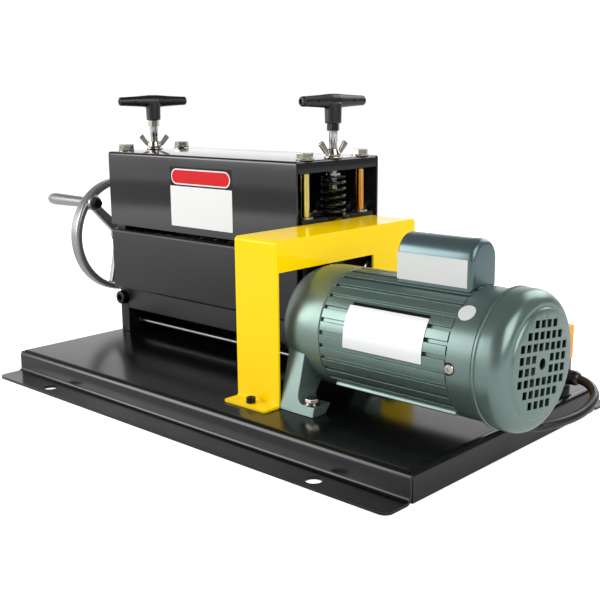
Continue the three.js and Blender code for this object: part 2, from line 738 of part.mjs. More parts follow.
function springAt(x) {
  const points = springPath(x);
  console.log(`spring at x ${x.toFixed(1)}: least gap to itself ${leastGapToItself(points, spring.wireRadius, 8).toFixed(2)} mm`);
  return wireTube(points, spring.wireRadius, 5);
}

// Pressure screws with a collar over the spring's washer, and a T-bar handle
const tee = {
  length: 95, endRadius: 5.7, middleRadius: 8.2, axisZ: 338.7, hubRadius: 9.4, hubTopRadius: 10.4,
  endRound: 1.5, rightAngle: 83, leftAngle: 71,
};

function pressureScrew(x) {
  const at = acrossZ(x, head.centreY);
  const headTop = screw.headLow + screw.headHeight;
  const collarLow = pressureWasherTop + fit.gap;
  return joined(
    rod('z', at, screw.radius, screw.tip, screw.headLow + fit.overrun, screw.threadSides),
    rod('z', at, screw.collarRadius, collarLow, collarLow + screw.collarHeight, 12),
    hexagon('z', at, screw.headFlats, screw.headLow, headTop),
    rod('z', at, screw.spigotRadius, headTop - fit.overrun, headTop + screw.spigotLength, 8),
  );
}

function pressureWasher(x) {
  return ring('z', acrossZ(x, head.centreY), boreFor(screw.radius, screw.threadSides), screw.washerRadius,
    spring.top + fit.gap, pressureWasherTop, screw.threadSides);
}

function teeHandle(x, angle) {
  const half = tee.length / 2;
  const r = tee.endRound;
  const bar = revolved('x', [
    [-half, 0], [-half, tee.endRadius - r], [-half + r, tee.endRadius],
    [-half * teeShares.shoulder, tee.endRadius + (tee.middleRadius - tee.endRadius) * teeShares.swell],
    [-half * teeShares.middle, tee.middleRadius], [half * teeShares.middle, tee.middleRadius],
    [half * teeShares.shoulder, tee.endRadius + (tee.middleRadius - tee.endRadius) * teeShares.swell],
    [half - r, tee.endRadius], [half, tee.endRadius - r], [half, 0],
  ], 10, [0, 0, 0]);
  const hubBottom = screw.headLow + screw.headHeight + fit.gap;
  const hub = revolved('z', [[hubBottom, 0], [hubBottom, tee.hubRadius], [tee.axisZ, tee.hubTopRadius], [tee.axisZ, 0]],
    12, acrossZ(x, head.centreY));
  const bore = rod('z', acrossZ(x, head.centreY), boreFor(screw.spigotRadius, 8), hubBottom - fit.overrun,
    hubBottom + screw.spigotLength, 8);
  const turned = moved(bar.rotate([0, 0, angle]), x, head.centreY, tee.axisZ);
  return joined(turned, hub).subtract(bore);
}

// Where the T-bar swells from its ends to its middle, as shares of its half length and of the swell
const teeShares = { shoulder: 0.55, middle: 0.16, swell: 0.45 };

// Wing nuts that lock the pressure screws, each with its washer
const wing = {
  washerRadius: 11, washer: 1.8, bodyRadius: 8.6, topRadius: 6.6, height: 10.5, span: 40, wingTop: 19.5,
  thickness: 3, rootHeight: 4,
  tipWidth: 9, leftAngle: 43, rightAngle: 78,
};
const wingSeat = head.top + fit.gap;

function wingNut(x, angle) {
  const at = acrossZ(x, head.centreY);
  const washerTop = wingSeat + wing.washer;
  const body = revolved('z', [
    [wingSeat, 0], [wingSeat, wing.washerRadius], [washerTop, wing.washerRadius], [washerTop, wing.bodyRadius],
    [wingSeat + wing.height, wing.topRadius], [wingSeat + wing.height, 0],
  ], 12, at);
  const half = wing.span / 2;
  const outline = new THREE.Shape();
  outline.moveTo(0, wing.rootHeight);
  outline.lineTo(wing.bodyRadius, wing.rootHeight);
  outline.quadraticCurveTo(half, wing.rootHeight + wing.height / 2, half, wing.wingTop - wing.tipWidth / 4);
  outline.quadraticCurveTo(half - wing.tipWidth / 4, wing.wingTop, half - wing.tipWidth, wing.wingTop);
  outline.quadraticCurveTo(wing.topRadius, wing.height, 0, wing.height - wing.rootHeight / 2);
  outline.closePath();
  const one = prism('y', outline, -wing.thickness / 2, wing.thickness / 2);
  const pair = joined(one, one.rotate([0, 0, 180]));
  const wings = moved(pair.rotate([0, 0, angle]), x, head.centreY, wingSeat);
  const bore = rod('z', at, boreFor(screw.radius, screw.threadSides), wingSeat - fit.overrun,
    wingSeat + wing.wingTop + fit.overrun, screw.threadSides);
  return joined(body, wings).subtract(bore);
}

// Chain drive: the route of the rollers round both sprockets
const feedPitchRadius = chain.pitch / 2 / Math.sin(halfTurn / sprocket.feedTeeth);
const motorPitchRadius = chain.pitch / 2 / Math.sin(halfTurn / sprocket.motorTeeth);

function chainRoute() {
  const big = new THREE.Vector2(head.centreY, head.feedAxisZ);
  const small = new THREE.Vector2(motor.axisY, motor.axisZ);
  const apart = small.clone().sub(big);
  const distance = apart.length();
  const line = Math.atan2(apart.y, apart.x);
  const spread = Math.acos((feedPitchRadius - motorPitchRadius) / distance);
  // Going round counter-clockwise: on to the big sprocket, round its far side, then the small one
  const bigStart = line + spread;
  const bigStep = fullTurn / sprocket.feedTeeth;
  const bigCount = Math.ceil((fullTurn - 2 * spread) / bigStep);
  const smallStart = line - spread;
  const smallStep = fullTurn / sprocket.motorTeeth;
  const smallCount = Math.ceil(2 * spread / smallStep);
  const on = (centre, radius, angle) => new THREE.Vector2(
    centre.x + radius * Math.cos(angle), centre.y + radius * Math.sin(angle),
  );
  const route = [];
  for (let i = 0; i <= bigCount; i += 1) route.push(on(big, feedPitchRadius, bigStart + i * bigStep));
  const bigEnd = route[route.length - 1];
  const smallFirst = on(small, motorPitchRadius, smallStart);
  const lowerRun = Math.round(bigEnd.distanceTo(smallFirst) / chain.pitch);
  for (let i = 1; i < lowerRun; i += 1) route.push(bigEnd.clone().lerp(smallFirst, i / lowerRun));
  for (let i = 0; i <= smallCount; i += 1) route.push(on(small, motorPitchRadius, smallStart + i * smallStep));
  const smallEnd = route[route.length - 1];
  const upperExact = smallEnd.distanceTo(route[0]) / chain.pitch;
  let upperRun = Math.round(upperExact);
  if ((route.length + upperRun - 1) % 2 === 1) upperRun += upperExact > upperRun ? 1 : -1;
  for (let i = 1; i < upperRun; i += 1) route.push(smallEnd.clone().lerp(route[0], i / upperRun));
  const stretch = [bigEnd.distanceTo(smallFirst) / lowerRun, smallEnd.distanceTo(route[0]) / upperRun];
  console.log(`chain: ${route.length} links, free runs pitched ${stretch.map((p) => p.toFixed(3)).join(' and ')} mm`);
  return { route, bigStart, smallStart };
}

const drive = chainRoute();

// Outline of one side of the chain: link plates waisted between their pins, in one closed loop
function linkPlateOutline() {
  const outer = [];
  const inner = [];
  const count = drive.route.length;
  drive.route.forEach((spot, i) => {
    const next = drive.route[(i + 1) % count];
    const before = drive.route[(i + count - 1) % count];
    const along = next.clone().sub(before).normalize();
    const ahead = next.clone().sub(spot).normalize();
    const middle = spot.clone().lerp(next, halfShare);
    for (const [point, way, reach] of [
      [spot, along, chain.plateHalfHeight], [middle, ahead, chain.plateHalfHeight * linkShares.waist],
    ]) {
      outer.push(new THREE.Vector2(point.x + way.y * reach, point.y - way.x * reach));
      inner.push(new THREE.Vector2(point.x - way.y * reach, point.y + way.x * reach));
    }
  });
  const shape = new THREE.Shape(outer);
  shape.holes.push(new THREE.Path(inner));
  return shape;
}

function chainSolid() {
  const inside = chain.innerWidth / 2;
  const reach = inside + chain.fused;
  const outline = linkPlateOutline();
  const sides = [-1, 1].map((side) => prism('x', outline,
    ...ordered(chain.centreX + side * inside, chain.centreX + side * (inside + chain.plate))));
  const rollers = drive.route.map((spot) => rod('x', acrossX(spot.x, spot.y), chain.rollerRadius,
    chain.centreX - reach, chain.centreX + reach, 6));
  return joined(sides, rollers);
}

// Waist of a link plate between its pins, as a share of its half height
const linkShares = { waist: 0.6 };

// Toothed disc whose gullets seat the rollers of the chain
function toothedDisc(teeth, pitchRadius, phase, centre) {
  const gullet = chain.rollerRadius * gulletShares.radius;
  const outline = [];
  const tip = pitchRadius + sprocket.tipHeight;
  for (let i = 0; i < teeth; i += 1) {
    const angle = phase + i * fullTurn / teeth;
    for (const turn of gulletShares.turns) {
      const way = angle + halfTurn - turn * halfTurn;
      outline.push([
        pitchRadius * Math.cos(angle) + gullet * Math.cos(way), pitchRadius * Math.sin(angle) + gullet * Math.sin(way),
      ]);
    }
    for (const share of gulletShares.tips) {
      const way = angle + share * fullTurn / teeth;
      outline.push([tip * Math.cos(way), tip * Math.sin(way)]);
    }
  }
  const from = chain.centreX - sprocket.thickness / 2;
  return moved(prism('x', outline, from, from + sprocket.thickness), ...centre);
}

function feedSprocket() {
  const right = chain.centreX + sprocket.thickness / 2;
  const disc = toothedDisc(sprocket.feedTeeth, feedPitchRadius, drive.bigStart, feedCentre);
  const hub = rod('x', feedCentre, sprocket.hubRadius, right - sprocket.hubLength, right, 16);
  const bore = rod('x', feedCentre, boreFor(feed.shaftRadius, 20), right - sprocket.hubLength - fit.overrun,
    right + fit.overrun, 20);
  return joined(disc, hub).subtract(bore);
}

// Small sprocket pinned on the output shaft of the gearbox
function outputShaft() {
  const hubRadius = motorPitchRadius - chain.plateHalfHeight - fit.gap;
  const right = chain.centreX + sprocket.thickness / 2;
  return joined(
    toothedDisc(sprocket.motorTeeth, motorPitchRadius, drive.smallStart, motorCentre),
    rod('x', motorCentre, hubRadius, right - sprocket.hubLength, right, 16),
    rod('x', motorCentre, gearBox.outputRadius, gearBox.outputLeft, gearBox.outputRight, 20),
  );
}

// Gullet points as shares of a half turn, and tooth tips as shares of one tooth's turn
const gulletShares = { radius: 1.24, turns: [-0.33, 0, 0.33], tips: [0.45, 0.55] };

// Yellow guard: front and rear legs, a top strip and a cut-out panel on the motor side
const guard = {
  width: 61, sheet: 2.5, front: -120.7, rear: 109, top: 203.8, bend: 2, foot: 21, footCorner: 7,
  lip: 32.5, openingRear: 33, sideGap: 0.4,
};
const guardLeft = head.right + guard.sideGap;
const guardRight = guardLeft + guard.width;

function guardScrewPlaces() {
  const places = [];
  for (const y of [guard.front - guard.foot / 2, guard.rear + guard.foot / 2]) {
    places.push({ x: guardLeft + guard.width / 2, y, size: m6 });
  }
  return places;
}

function guardSolid() {
  const s = guard.sheet;
  const low = seatZ + s / 2;
  const high = guard.top - s / 2;
  const path = [
    [guard.front - guard.foot, low], [guard.front + s / 2, low], [guard.front + s / 2, high],
    [guard.rear - s / 2, high], [guard.rear - s / 2, low], [guard.rear + guard.foot, low],
  ];
  const strip = prism('x', foldedSheet(path, s, guard.bend), guardLeft, guardRight);
  const panel = block(guardRight - s, guardRight, guard.front + s / 2, guard.rear - s / 2, seatZ + s, high);
  const opening = block(guardRight - s - fit.overrun, guardRight + fit.overrun, guard.front + s, guard.openingRear,
    seatZ - fit.overrun, guard.top - guard.lip);
  const cuts = guardScrewPlaces().map(({ x, y, size }) => rod('z', acrossZ(x, y), boreFor(size.shank, 8),
    seatZ - fit.overrun, seatZ + s + fit.overrun, 8));
  for (const [edge, outwards] of [[guard.front - guard.foot, -1], [guard.rear + guard.foot, 1]]) {
    for (const [side, out] of [[guardLeft, -1], [guardRight, 1]]) cuts.push(guardCornerCut(side, edge, out, outwards));
  }
  return cutBy(joined(strip, panel.subtract(opening)), cuts);
}

function guardCornerCut(x, y, sideX, sideY) {
  const c = guard.footCorner;
  const o = fit.overrun;
  const outline = [
    [x + sideX * o, y - sideY * c], [x, y - sideY * c], [x - sideX * c, y],
    [x - sideX * c, y + sideY * o], [x + sideX * o, y + sideY * o],
  ];
  const turned = sideX * sideY > 0 ? outline.reverse() : outline;
  return outwardPrism(turned, seatZ - fit.overrun, seatZ + guard.sheet + fit.overrun);
}

function outwardPrism(outline, from, to) {
  return prism('z', outline, from, to);
}

function guardScrew({ x, y }) {
  const at = acrossZ(x, y);
  const headLow = seatZ + guard.sheet + fit.gap;
  const nutTop = base.height - base.sheet - fit.gap;
  const socket = hexagon('z', at, m6.hexFlats, headLow + m6.headHeight - m6.hexDepth,
    headLow + m6.headHeight + fit.overrun);
  return joined(
    rod('z', at, m6.socketRadius, headLow, headLow + m6.headHeight, 14).subtract(socket),
    rod('z', at, m6.shank, nutTop - m6.nutHeight, headLow + fit.gap, 8),
    hexagon('z', at, m6.nutFlats, nutTop - m6.nutHeight, nutTop),
  );
}

// Gear housing with cast legs and feet
const gearBox = {
  end: 149.7, faceRadius: 47, shoulder: 35, legFrom: 105.5, legWidth: 22.3, footRight: 151.8, footHalf: 74.2,
  footInner: 54.6, footHeight: 10, legTop: 94, legTopHalf: 58, archHalf: 52, archTop: 44, legInnerTop: 70,
  boltX: 142.6, boltInset: 9.6, outputRadius: 10, outputLeft: 64, outputRight: 116,
};
const motorCentre = acrossX(motor.axisY, motor.axisZ);
const rotor = { shaftRadius: 7, left: 119, coreRadius: 28, coreFrom: 176, coreTo: 276, gap: 0.6 };

function footBoltPlaces() {
  const reach = gearBox.footHalf - gearBox.boltInset;
  return [-1, 1].map((side) => ({ x: gearBox.boltX, y: motor.axisY + side * reach, size: m8 }));
}

function gearHousing() {
  const rise = motor.radius - gearBox.faceRadius;
  const profile = [[motor.gearFront, 0], [motor.gearFront, gearBox.faceRadius]];
  for (const share of gearShares.curve) {
    const angle = share * quarterTurn;
    profile.push([
      motor.gearFront + gearBox.shoulder * (1 - Math.cos(angle)), gearBox.faceRadius + rise * Math.sin(angle),
    ]);
  }
  profile.push([gearBox.end, motor.radius], [gearBox.end, 0]);
  const bell = revolved('x', profile, 24, motorCentre);
  const y = motor.axisY;
  const legs = [-1, 1].map((side) => {
    const outline = [
      [y + side * gearBox.footHalf, seatZ], [y + side * gearBox.legTopHalf, gearBox.legTop],
      [y, gearBox.legTop], [y + side * gearBox.archHalf, seatZ],
    ];
    return prism('x', side > 0 ? outline : outline.reverse(), gearBox.legFrom, gearBox.legFrom + gearBox.legWidth);
  });
  const feet = [-1, 1].map((side) => block(gearBox.legFrom, gearBox.footRight,
    ...ordered(y + side * gearBox.footInner, y + side * gearBox.footHalf), seatZ, seatZ + gearBox.footHeight));
  const holes = footBoltPlaces().map((bolt) => rod('z', acrossZ(bolt.x, bolt.y), boreFor(m8.shank, 8),
    seatZ - fit.overrun, seatZ + gearBox.footHeight + fit.overrun, 8));
  const front = rod('x', motorCentre, boreFor(gearBox.outputRadius, 20), motor.gearFront - fit.overrun,
    gearBox.outputRight + fit.overrun, 20);
  const rear = rod('x', motorCentre, boreFor(rotor.shaftRadius, 16), rotor.left - fit.overrun / 2,
    gearBox.end + fit.overrun, 16);
  return cutBy(joined(bell, legs, feet), holes, front, rear);
}

// Steps of the rounded nose of the gear housing, as shares of a quarter turn
const gearShares = { curve: [0.33, 0.67, 1] };

function footBolt({ x, y }) {
  const at = acrossZ(x, y);
  const washerLow = seatZ + gearBox.footHeight + fit.gap;
  const headLow = washerLow + m8.washer;
  const nutTop = base.height - base.sheet - fit.gap;
  return joined(
    rod('z', at, m8.washerRadius, washerLow, headLow, 14),
    hexagon('z', at, m8.flats, headLow, headLow + m8.headHeight),
    rod('z', at, m8.shank, nutTop - m8.headHeight, headLow, 8),
    hexagon('z', at, m8.flats, nutTop - m8.headHeight, nutTop),
  );
}

// Finned motor body
const fins = { count: 30, depth: 3.4, grooveShare: 0.3, firstShare: 0.63 };

function motorBody() {
  const outline = new THREE.Shape();
  const root = motor.radius - fins.depth;
  const step = fullTurn / fins.count;
  for (let i = 0; i < fins.count; i += 1) {
    const start = (i + fins.firstShare) * step;
    const edge = start + step * (1 - fins.grooveShare);
    const corners = [[start, motor.radius], [edge, motor.radius], [edge, root], [start + step, root]];
    for (const [angle, radius] of corners) {
      const y = motor.axisY + radius * Math.cos(angle);
      const z = motor.axisZ + radius * Math.sin(angle);
      if (i === 0 && angle === start) outline.moveTo(y, z);
      else outline.lineTo(y, z);
    }
  }
  outline.closePath();
  const body = prism('x', outline, motor.finStart + fit.gap, motor.finEnd - fit.gap);
  const tunnel = rod('x', motorCentre, rotor.coreRadius + rotor.gap, motor.finStart - fit.overrun,
    motor.finEnd + fit.overrun, 24);
  return body.subtract(tunnel);
}

// End shield between the finned body and the fan cover
const shield = { spigot: 5.5, radius: 63.1, edge: 1.5 };

function endShield() {
  const bore = boreFor(rotor.shaftRadius, 24);
  const spigotRadius = motor.coverRadius - cover.wall - fit.gap;
  return revolved('x', [
    [motor.finEnd, bore], [motor.finEnd, shield.radius - shield.edge], [motor.finEnd + shield.edge, shield.radius],
    [motor.coverStart - fit.gap, shield.radius],
    [motor.coverStart - fit.gap, spigotRadius], [motor.coverStart + shield.spigot, spigotRadius],
    [motor.coverStart + shield.spigot, bore],
  ], 24, motorCentre);
}

// Fan cover: a domed shell with a stepped face and rows of square vents
const cover = {
  wall: 2, shoulder: 15, faceRadius: 49.5, stepDepth: 2.2, stepRadius: 53, ventPitch: 10.5, vent: 6.8, centreHole: 5.2,
};
const ventRows = [
  { row: 3.5, count: 4 }, { row: 2.5, count: 6 }, { row: 1.5, count: 8 }, { row: 0.5, count: 8 },
  { row: -0.5, count: 8 }, { row: -1.5, count: 8 }, { row: -2.5, count: 6 }, { row: -3.5, count: 4 },
];

function fanCover() {
  const outer = [[motor.coverStart, motor.coverRadius]];
  const inner = [[motor.coverStart, motor.coverRadius - cover.wall]];
  const stepX = motor.coverFace - cover.stepDepth;
  const arcStart = stepX - cover.shoulder;
  const arcIn = motor.coverRadius - cover.stepRadius;
  for (const share of coverShares.curve) {
    const angle = share * quarterTurn;
    outer.push([arcStart + cover.shoulder * Math.sin(angle), cover.stepRadius + arcIn * Math.cos(angle)]);
    inner.push([
      arcStart + (cover.shoulder - cover.wall) * Math.sin(angle), cover.stepRadius + (arcIn - cover.wall) * Math.cos(angle),
    ]);
  }
  outer.push([motor.coverFace, cover.faceRadius], [motor.coverFace, 0]);
  inner.push([motor.coverFace - cover.wall, cover.faceRadius - cover.wall], [motor.coverFace - cover.wall, 0]);
  const shell = shellOf(outer, inner);
  const vents = [];
  const reach = [motor.coverFace - cover.wall - fit.overrun, motor.coverFace + fit.overrun];
  for (const { row, count } of ventRows) {
    for (let i = 0; i < count; i += 1) {
      const column = i - (count - 1) / 2;
      if (Math.abs(row) < 1 && Math.abs(column) < 1) continue;
      const y = motor.axisY + column * cover.ventPitch;
      const z = motor.axisZ + row * cover.ventPitch;
      vents.push(block(...reach, y - cover.vent / 2, y + cover.vent / 2, z - cover.vent / 2, z + cover.vent / 2));
    }
  }
  vents.push(rod('x', motorCentre, cover.centreHole, ...reach, 12));
  return cutBy(shell, wasm.Manifold.compose(vents));
}

// Steps of the cover's rounded shoulder, as shares of a quarter turn
const coverShares = { curve: [0, 0.33, 0.67, 1] };

// A turned shell between an outer and an inner profile that both end on the axis
function shellOf(outer, inner) {
  const solidOuter = revolved('x', [[outer[0][0], 0], ...outer], 24, motorCentre);
  const solidInner = revolved('x', [[inner[0][0] - fit.overrun, 0], [inner[0][0] - fit.overrun, inner[0][1]], ...inner],
    24, motorCentre);
  return solidOuter.subtract(solidInner);
}

// Rotor on the motor's shaft, with the cooling fan behind the end shield
const fan = { hubRadius: 14, radius: 44, from: 338, to: 352, blades: 6, bladeThickness: 2.2, plate: 2 };

function rotorAndFan() {
  const r = rotor.shaftRadius;
  const shaft = revolved('x', [
    [rotor.left, 0], [rotor.left, r], [rotor.coreFrom, r], [rotor.coreFrom, rotor.coreRadius],
    [rotor.coreTo, rotor.coreRadius], [rotor.coreTo, r], [fan.from, r], [fan.from, fan.radius],
    [fan.from + fan.plate, fan.radius], [fan.from + fan.plate, fan.hubRadius], [fan.to, fan.hubRadius], [fan.to, 0],
  ], 12, motorCentre);
  const blades = [];
  for (let i = 0; i < fan.blades; i += 1) {
    const paddle = block(fan.from, fan.to, -fan.bladeThickness / 2, fan.bladeThickness / 2, fan.hubRadius / 2, fan.radius);
    blades.push(moved(paddle.rotate([360 * i / fan.blades, 0, 0]), ...motorCentre));
  }
  return joined(shaft, blades);
}

// Capacitor box on top of the motor: a D-shaped case with a slip-on end cap
function capacitorOutline(grow) {
  const half = capacitor.width / 2 + grow;
  const low = motor.axisZ + motor.radius - capacitor.sink;
  const springing = capacitor.top - capacitor.width / 2;
  const outline = new THREE.Shape();
  outline.moveTo(motor.axisY - half, low);
  outline.lineTo(motor.axisY + half, low);
  outline.lineTo(motor.axisY + half, springing);
  outline.absarc(motor.axisY, springing, half, 0, halfTurn, false);
  outline.closePath();
  return outline;
}

function capacitorPiece(from, to, grow) {
  const clear = rod('x', motorCentre, motor.radius + fit.gap * 2, from - fit.overrun, to + fit.overrun, 60);
  return prism('x', capacitorOutline(grow), from, to).subtract(clear);
}

function capacitorBox() {
  return capacitorPiece(capacitor.start, capacitor.end - capacitor.capLength - fit.gap, 0);
}

function capacitorCap() {
  return capacitorPiece(capacitor.end - capacitor.capLength, capacitor.end, capacitor.seamProud);
}

// Switch box behind the motor: grey case, yellow cover, two sprung buttons
const switchBox = {
  right: 290, length: 70, rear: 155, width: 42, split: 61, top: 97.6, inset: 2.5, corner: 5, wall: 3,
  glandY: 133, glandZ: 44.8, buttonRadius: 9, buttonProud: 4, buttonDepth: 13, travel: 3, buttonSpacing: 34,
  collar: 2.2, collarWall: 3,
};
const gland = { radius: 7.6, length: 9, nutFlats: 15, nutLength: 5, noseRadius: 5.6 };
const lead = { radius: 4, sides: 10, step: 20 };

function roundedBlock(x0, x1, y0, y1, z0, z1, corner) {
  const shape = new THREE.Shape();
  shape.moveTo(x0 + corner, y0);
  shape.lineTo(x1 - corner, y0);
  shape.absarc(x1 - corner, y0 + corner, corner, -quarterTurn, 0, false);
  shape.lineTo(x1, y1 - corner);
  shape.absarc(x1 - corner, y1 - corner, corner, 0, quarterTurn, false);
  shape.lineTo(x0 + corner, y1);
  shape.absarc(x0 + corner, y1 - corner, corner, quarterTurn, halfTurn, false);
  shape.lineTo(x0, y0 + corner);
  shape.absarc(x0 + corner, y0 + corner, corner, halfTurn, halfTurn + quarterTurn, false);
  return prism('z', shape, z0, z1);
}

const switchLeft = switchBox.right - switchBox.length;
const switchFront = switchBox.rear - switchBox.width;
const switchMiddleX = switchBox.right - switchBox.length / 2;
const switchMiddleY = switchBox.rear - switchBox.width / 2;

function buttonPlaces() {
  return [-1, 1].map((side) => [switchMiddleX + side * switchBox.buttonSpacing / 2, switchMiddleY]);
}

function switchBase() {
  const i = switchBox.inset;
  return roundedBlock(switchLeft + i, switchBox.right - i, switchFront + i, switchBox.rear - i, seatZ,
    switchBox.split - fit.gap, switchBox.corner);
}

function switchCover() {
  const shell = roundedBlock(switchLeft, switchBox.right, switchFront, switchBox.rear, switchBox.split, switchBox.top,
    switchBox.corner);
  const collars = buttonPlaces().map(([x, y]) => rod('z', acrossZ(x, y), switchBox.buttonRadius + switchBox.collarWall,
    switchBox.top - fit.overrun, switchBox.top + switchBox.collar, 12));
  const wells = buttonPlaces().map(([x, y]) => rod('z', acrossZ(x, y), boreFor(switchBox.buttonRadius, 12),
    switchBox.top - switchBox.buttonDepth - switchBox.travel, switchBox.top + switchBox.collar + fit.overrun, 12));
  return cutBy(joined(shell, collars), wells);
}

function pushButton([x, y]) {
  const top = switchBox.top + switchBox.collar + switchBox.buttonProud;
  const r = switchBox.buttonRadius;
  const low = switchBox.top - switchBox.buttonDepth + fit.gap;
  const half = [[low, 0], [low, r], [top - fit.overrun / 2, r], [top, r - fit.overrun / 2], [top, 0]];
  return revolved('z', half, 12, acrossZ(x, y));
}

// Cable gland standing square on a face, pointing along its own +X before it is turned
function glandBody() {
  return joined(
    hexagon('x', [0, 0, 0], gland.nutFlats, 0, gland.nutLength),
    revolved('x', [
      [gland.nutLength / 2, 0], [gland.nutLength / 2, gland.radius], [gland.nutLength + gland.length / 2, gland.radius],
      [gland.nutLength + gland.length, gland.noseRadius], [gland.nutLength + gland.length, 0],
    ], 12, [0, 0, 0]),
  );
}

// Gland on the switch box, and one on the rear underside of the motor's end shield
const motorGland = { x: 315, angle: 150 };

function switchGland() {
  return moved(glandBody(), switchBox.right - switchBox.inset + fit.gap, switchBox.glandY, switchBox.glandZ);
}

function motorGlandSolid() {
  const reach = shield.radius + fit.gap;
  const placed = moved(glandBody().rotate([0, -90, 0]), 0, 0, reach).rotate([-motorGland.angle, 0, 0]);
  return moved(placed, motorGland.x, motor.axisY, motor.axisZ);
}

// Route of the lead from the switch to the motor, chosen by hand
const leadRoute = [
  [302.1, 133, 44.8], [304.5, 133, 44.7], [317.8, 130.3, 43.1], [329.5, 122.5, 39.9], [337.3, 110.8, 35.6],
  [340, 97, 31.5], [340.3, 84, 28.4], [338.9, 70, 26.2], [335.9, 56, 24.9], [332, 43, 24.1], [327.6, 32, 23.5],
  [323.4, 23.3, 23.3], [319.9, 14.6, 24.5], [317.3, 6.5, 27.8], [315.6, -0.7, 33.1], [315, -6.1, 40.15],
  [315, -7.35, 42.31],
];

function motorLead() {
  const points = leadRoute.map(([x, y, z]) => new THREE.Vector3(x, y, z));
  const curve = new THREE.CatmullRomCurve3(points, false, 'centripetal');
  const section = new THREE.Shape();
  for (let i = 0; i < lead.sides; i += 1) {
    const angle = fullTurn * i / lead.sides;
    const [u, v] = [lead.radius * Math.cos(angle), lead.radius * Math.sin(angle)];
    if (i === 0) section.moveTo(u, v);
    else section.lineTo(u, v);
  }
  section.closePath();
  const steps = Math.round(curve.getLength() / lead.step);
  return outward(new THREE.ExtrudeGeometry(section, { steps, extrudePath: curve, bevelEnabled: false }));
}

// Every piece, from the base up
const pillarNames = ['pillar_left_front', 'pillar_left_rear', 'pillar_right_front', 'pillar_right_rear'];
addPart('base_pan', basePan(), finishes.blackPowder);
addPart('side_plate_left', sidePlateAt(plateLeftX), finishes.blackPowder);
addPart('side_plate_right', sidePlateAt(plateRightX), finishes.blackPowder);
addPart('crossbar_front', crossbarAt(crossbarFronts()[0]), finishes.blackPowder);
addPart('crossbar_rear', crossbarAt(crossbarFronts()[1]), finishes.blackPowder);
addPart('tie_rod_front', tieRodAt(plateFront + tieRod.inset), finishes.steel);
addPart('tie_rod_rear', tieRodAt(plateRear - tieRod.inset), finishes.steel);
addPart('feed_bearing_left', feedBearingAt(plateLeftX, -1), finishes.steel);
addPart('feed_bearing_right', feedBearingAt(plateRightX, 1), finishes.steel);
pillarPlaces().forEach((place, i) => addPart(pillarNames[i], pillarAt(place), finishes.zinc));
addPart('top_plate', topPlateSolid(), finishes.darkSteel);
addPart('hood', hood(), finishes.blackPowder);
addPart('lower_front_cover', lowerCoverSolid(headFront, 1), finishes.blackPowder);
addPart('lower_rear_cover', lowerCoverSolid(headRear, -1), finishes.blackPowder);
addPart('wire_guide', wireGuide(), finishes.steel);
addPart('feed_shaft', feedShaft(), finishes.steel);
addPart('feed_roller', feedRoller(), finishes.darkSteel);
addPart('feed_sprocket', feedSprocket(), finishes.darkSteel);
addPart('hand_wheel', handWheel(), finishes.castGrey);
addPart('wheel_nut', wheelNut(), finishes.steel);
addPart('crank_pin', crankPin(), finishes.darkSteel);
addPart('crank_grip', crankGrip(), finishes.castGrey);
addPart('blade_shaft', bladeShaft(), finishes.steel);
addPart('blade_stack', bladeStack(), finishes.steel);
addPart('blade_block_left', slidingBlock(plateLeftX, 1), finishes.darkSteel);
addPart('blade_block_right', slidingBlock(plateRightX, -1), finishes.darkSteel);
for (const [side, x, teeAngle, wingAngle] of [
  ['left', plateLeftX, tee.leftAngle, wing.leftAngle],
  ['right', plateRightX, tee.rightAngle, wing.rightAngle],
]) {
  addPart(`spring_${side}`, springAt(x), finishes.darkSteel);
  addPart(`pressure_washer_${side}`, pressureWasher(x), finishes.darkSteel);
  addPart(`pressure_screw_${side}`, pressureScrew(x), finishes.steel);
  addPart(`tee_handle_${side}`, teeHandle(x, teeAngle), finishes.blackPlastic);
  addPart(`wing_nut_${side}`, wingNut(x, wingAngle), finishes.steel);
}
addPart('drive_chain', chainSolid(), finishes.darkSteel);
addPart('output_shaft', outputShaft(), finishes.darkSteel);
addPart('guard', guardSolid(), finishes.yellowPaint);
addPart('guard_screw_front', guardScrew(guardScrewPlaces()[0]), finishes.darkSteel);
addPart('guard_screw_rear', guardScrew(guardScrewPlaces()[1]), finishes.darkSteel);
addPart('gear_housing', gearHousing(), finishes.greenPaint);
addPart('foot_bolt_front', footBolt(footBoltPlaces()[0]), finishes.steel);
addPart('foot_bolt_rear', footBolt(footBoltPlaces()[1]), finishes.steel);
addPart('motor_body', motorBody(), finishes.greenPaint);
addPart('end_shield', endShield(), finishes.greenPaint);
addPart('fan_cover', fanCover(), finishes.greenPaint);
addPart('rotor_and_fan', rotorAndFan(), finishes.steel);
addPart('capacitor_box', capacitorBox(), finishes.greenPaint);
addPart('capacitor_cap', capacitorCap(), finishes.greenPaint);
addPart('switch_base', switchBase(), finishes.greyPlastic);
addPart('switch_cover', switchCover(), finishes.yellowPlastic);
addPart('start_button', pushButton(buttonPlaces()[0]), finishes.greenPlastic);
addPart('stop_button', pushButton(buttonPlaces()[1]), finishes.redPlastic);
addPart('switch_gland', switchGland(), finishes.blackPlastic);
addPart('motor_gland', motorGlandSolid(), finishes.blackPlastic);
addPart('motor_lead', motorLead(), finishes.cordBlack);

// The origin stands on the table in the middle of the whole machine
const leftEnd = wheelFar - fit.gap - grip.length;
machine.position.x = -(leftEnd + motor.coverFace) / 2;

export default group;
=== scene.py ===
import math

import bmesh
import bpy
from mathutils import Matrix, Vector


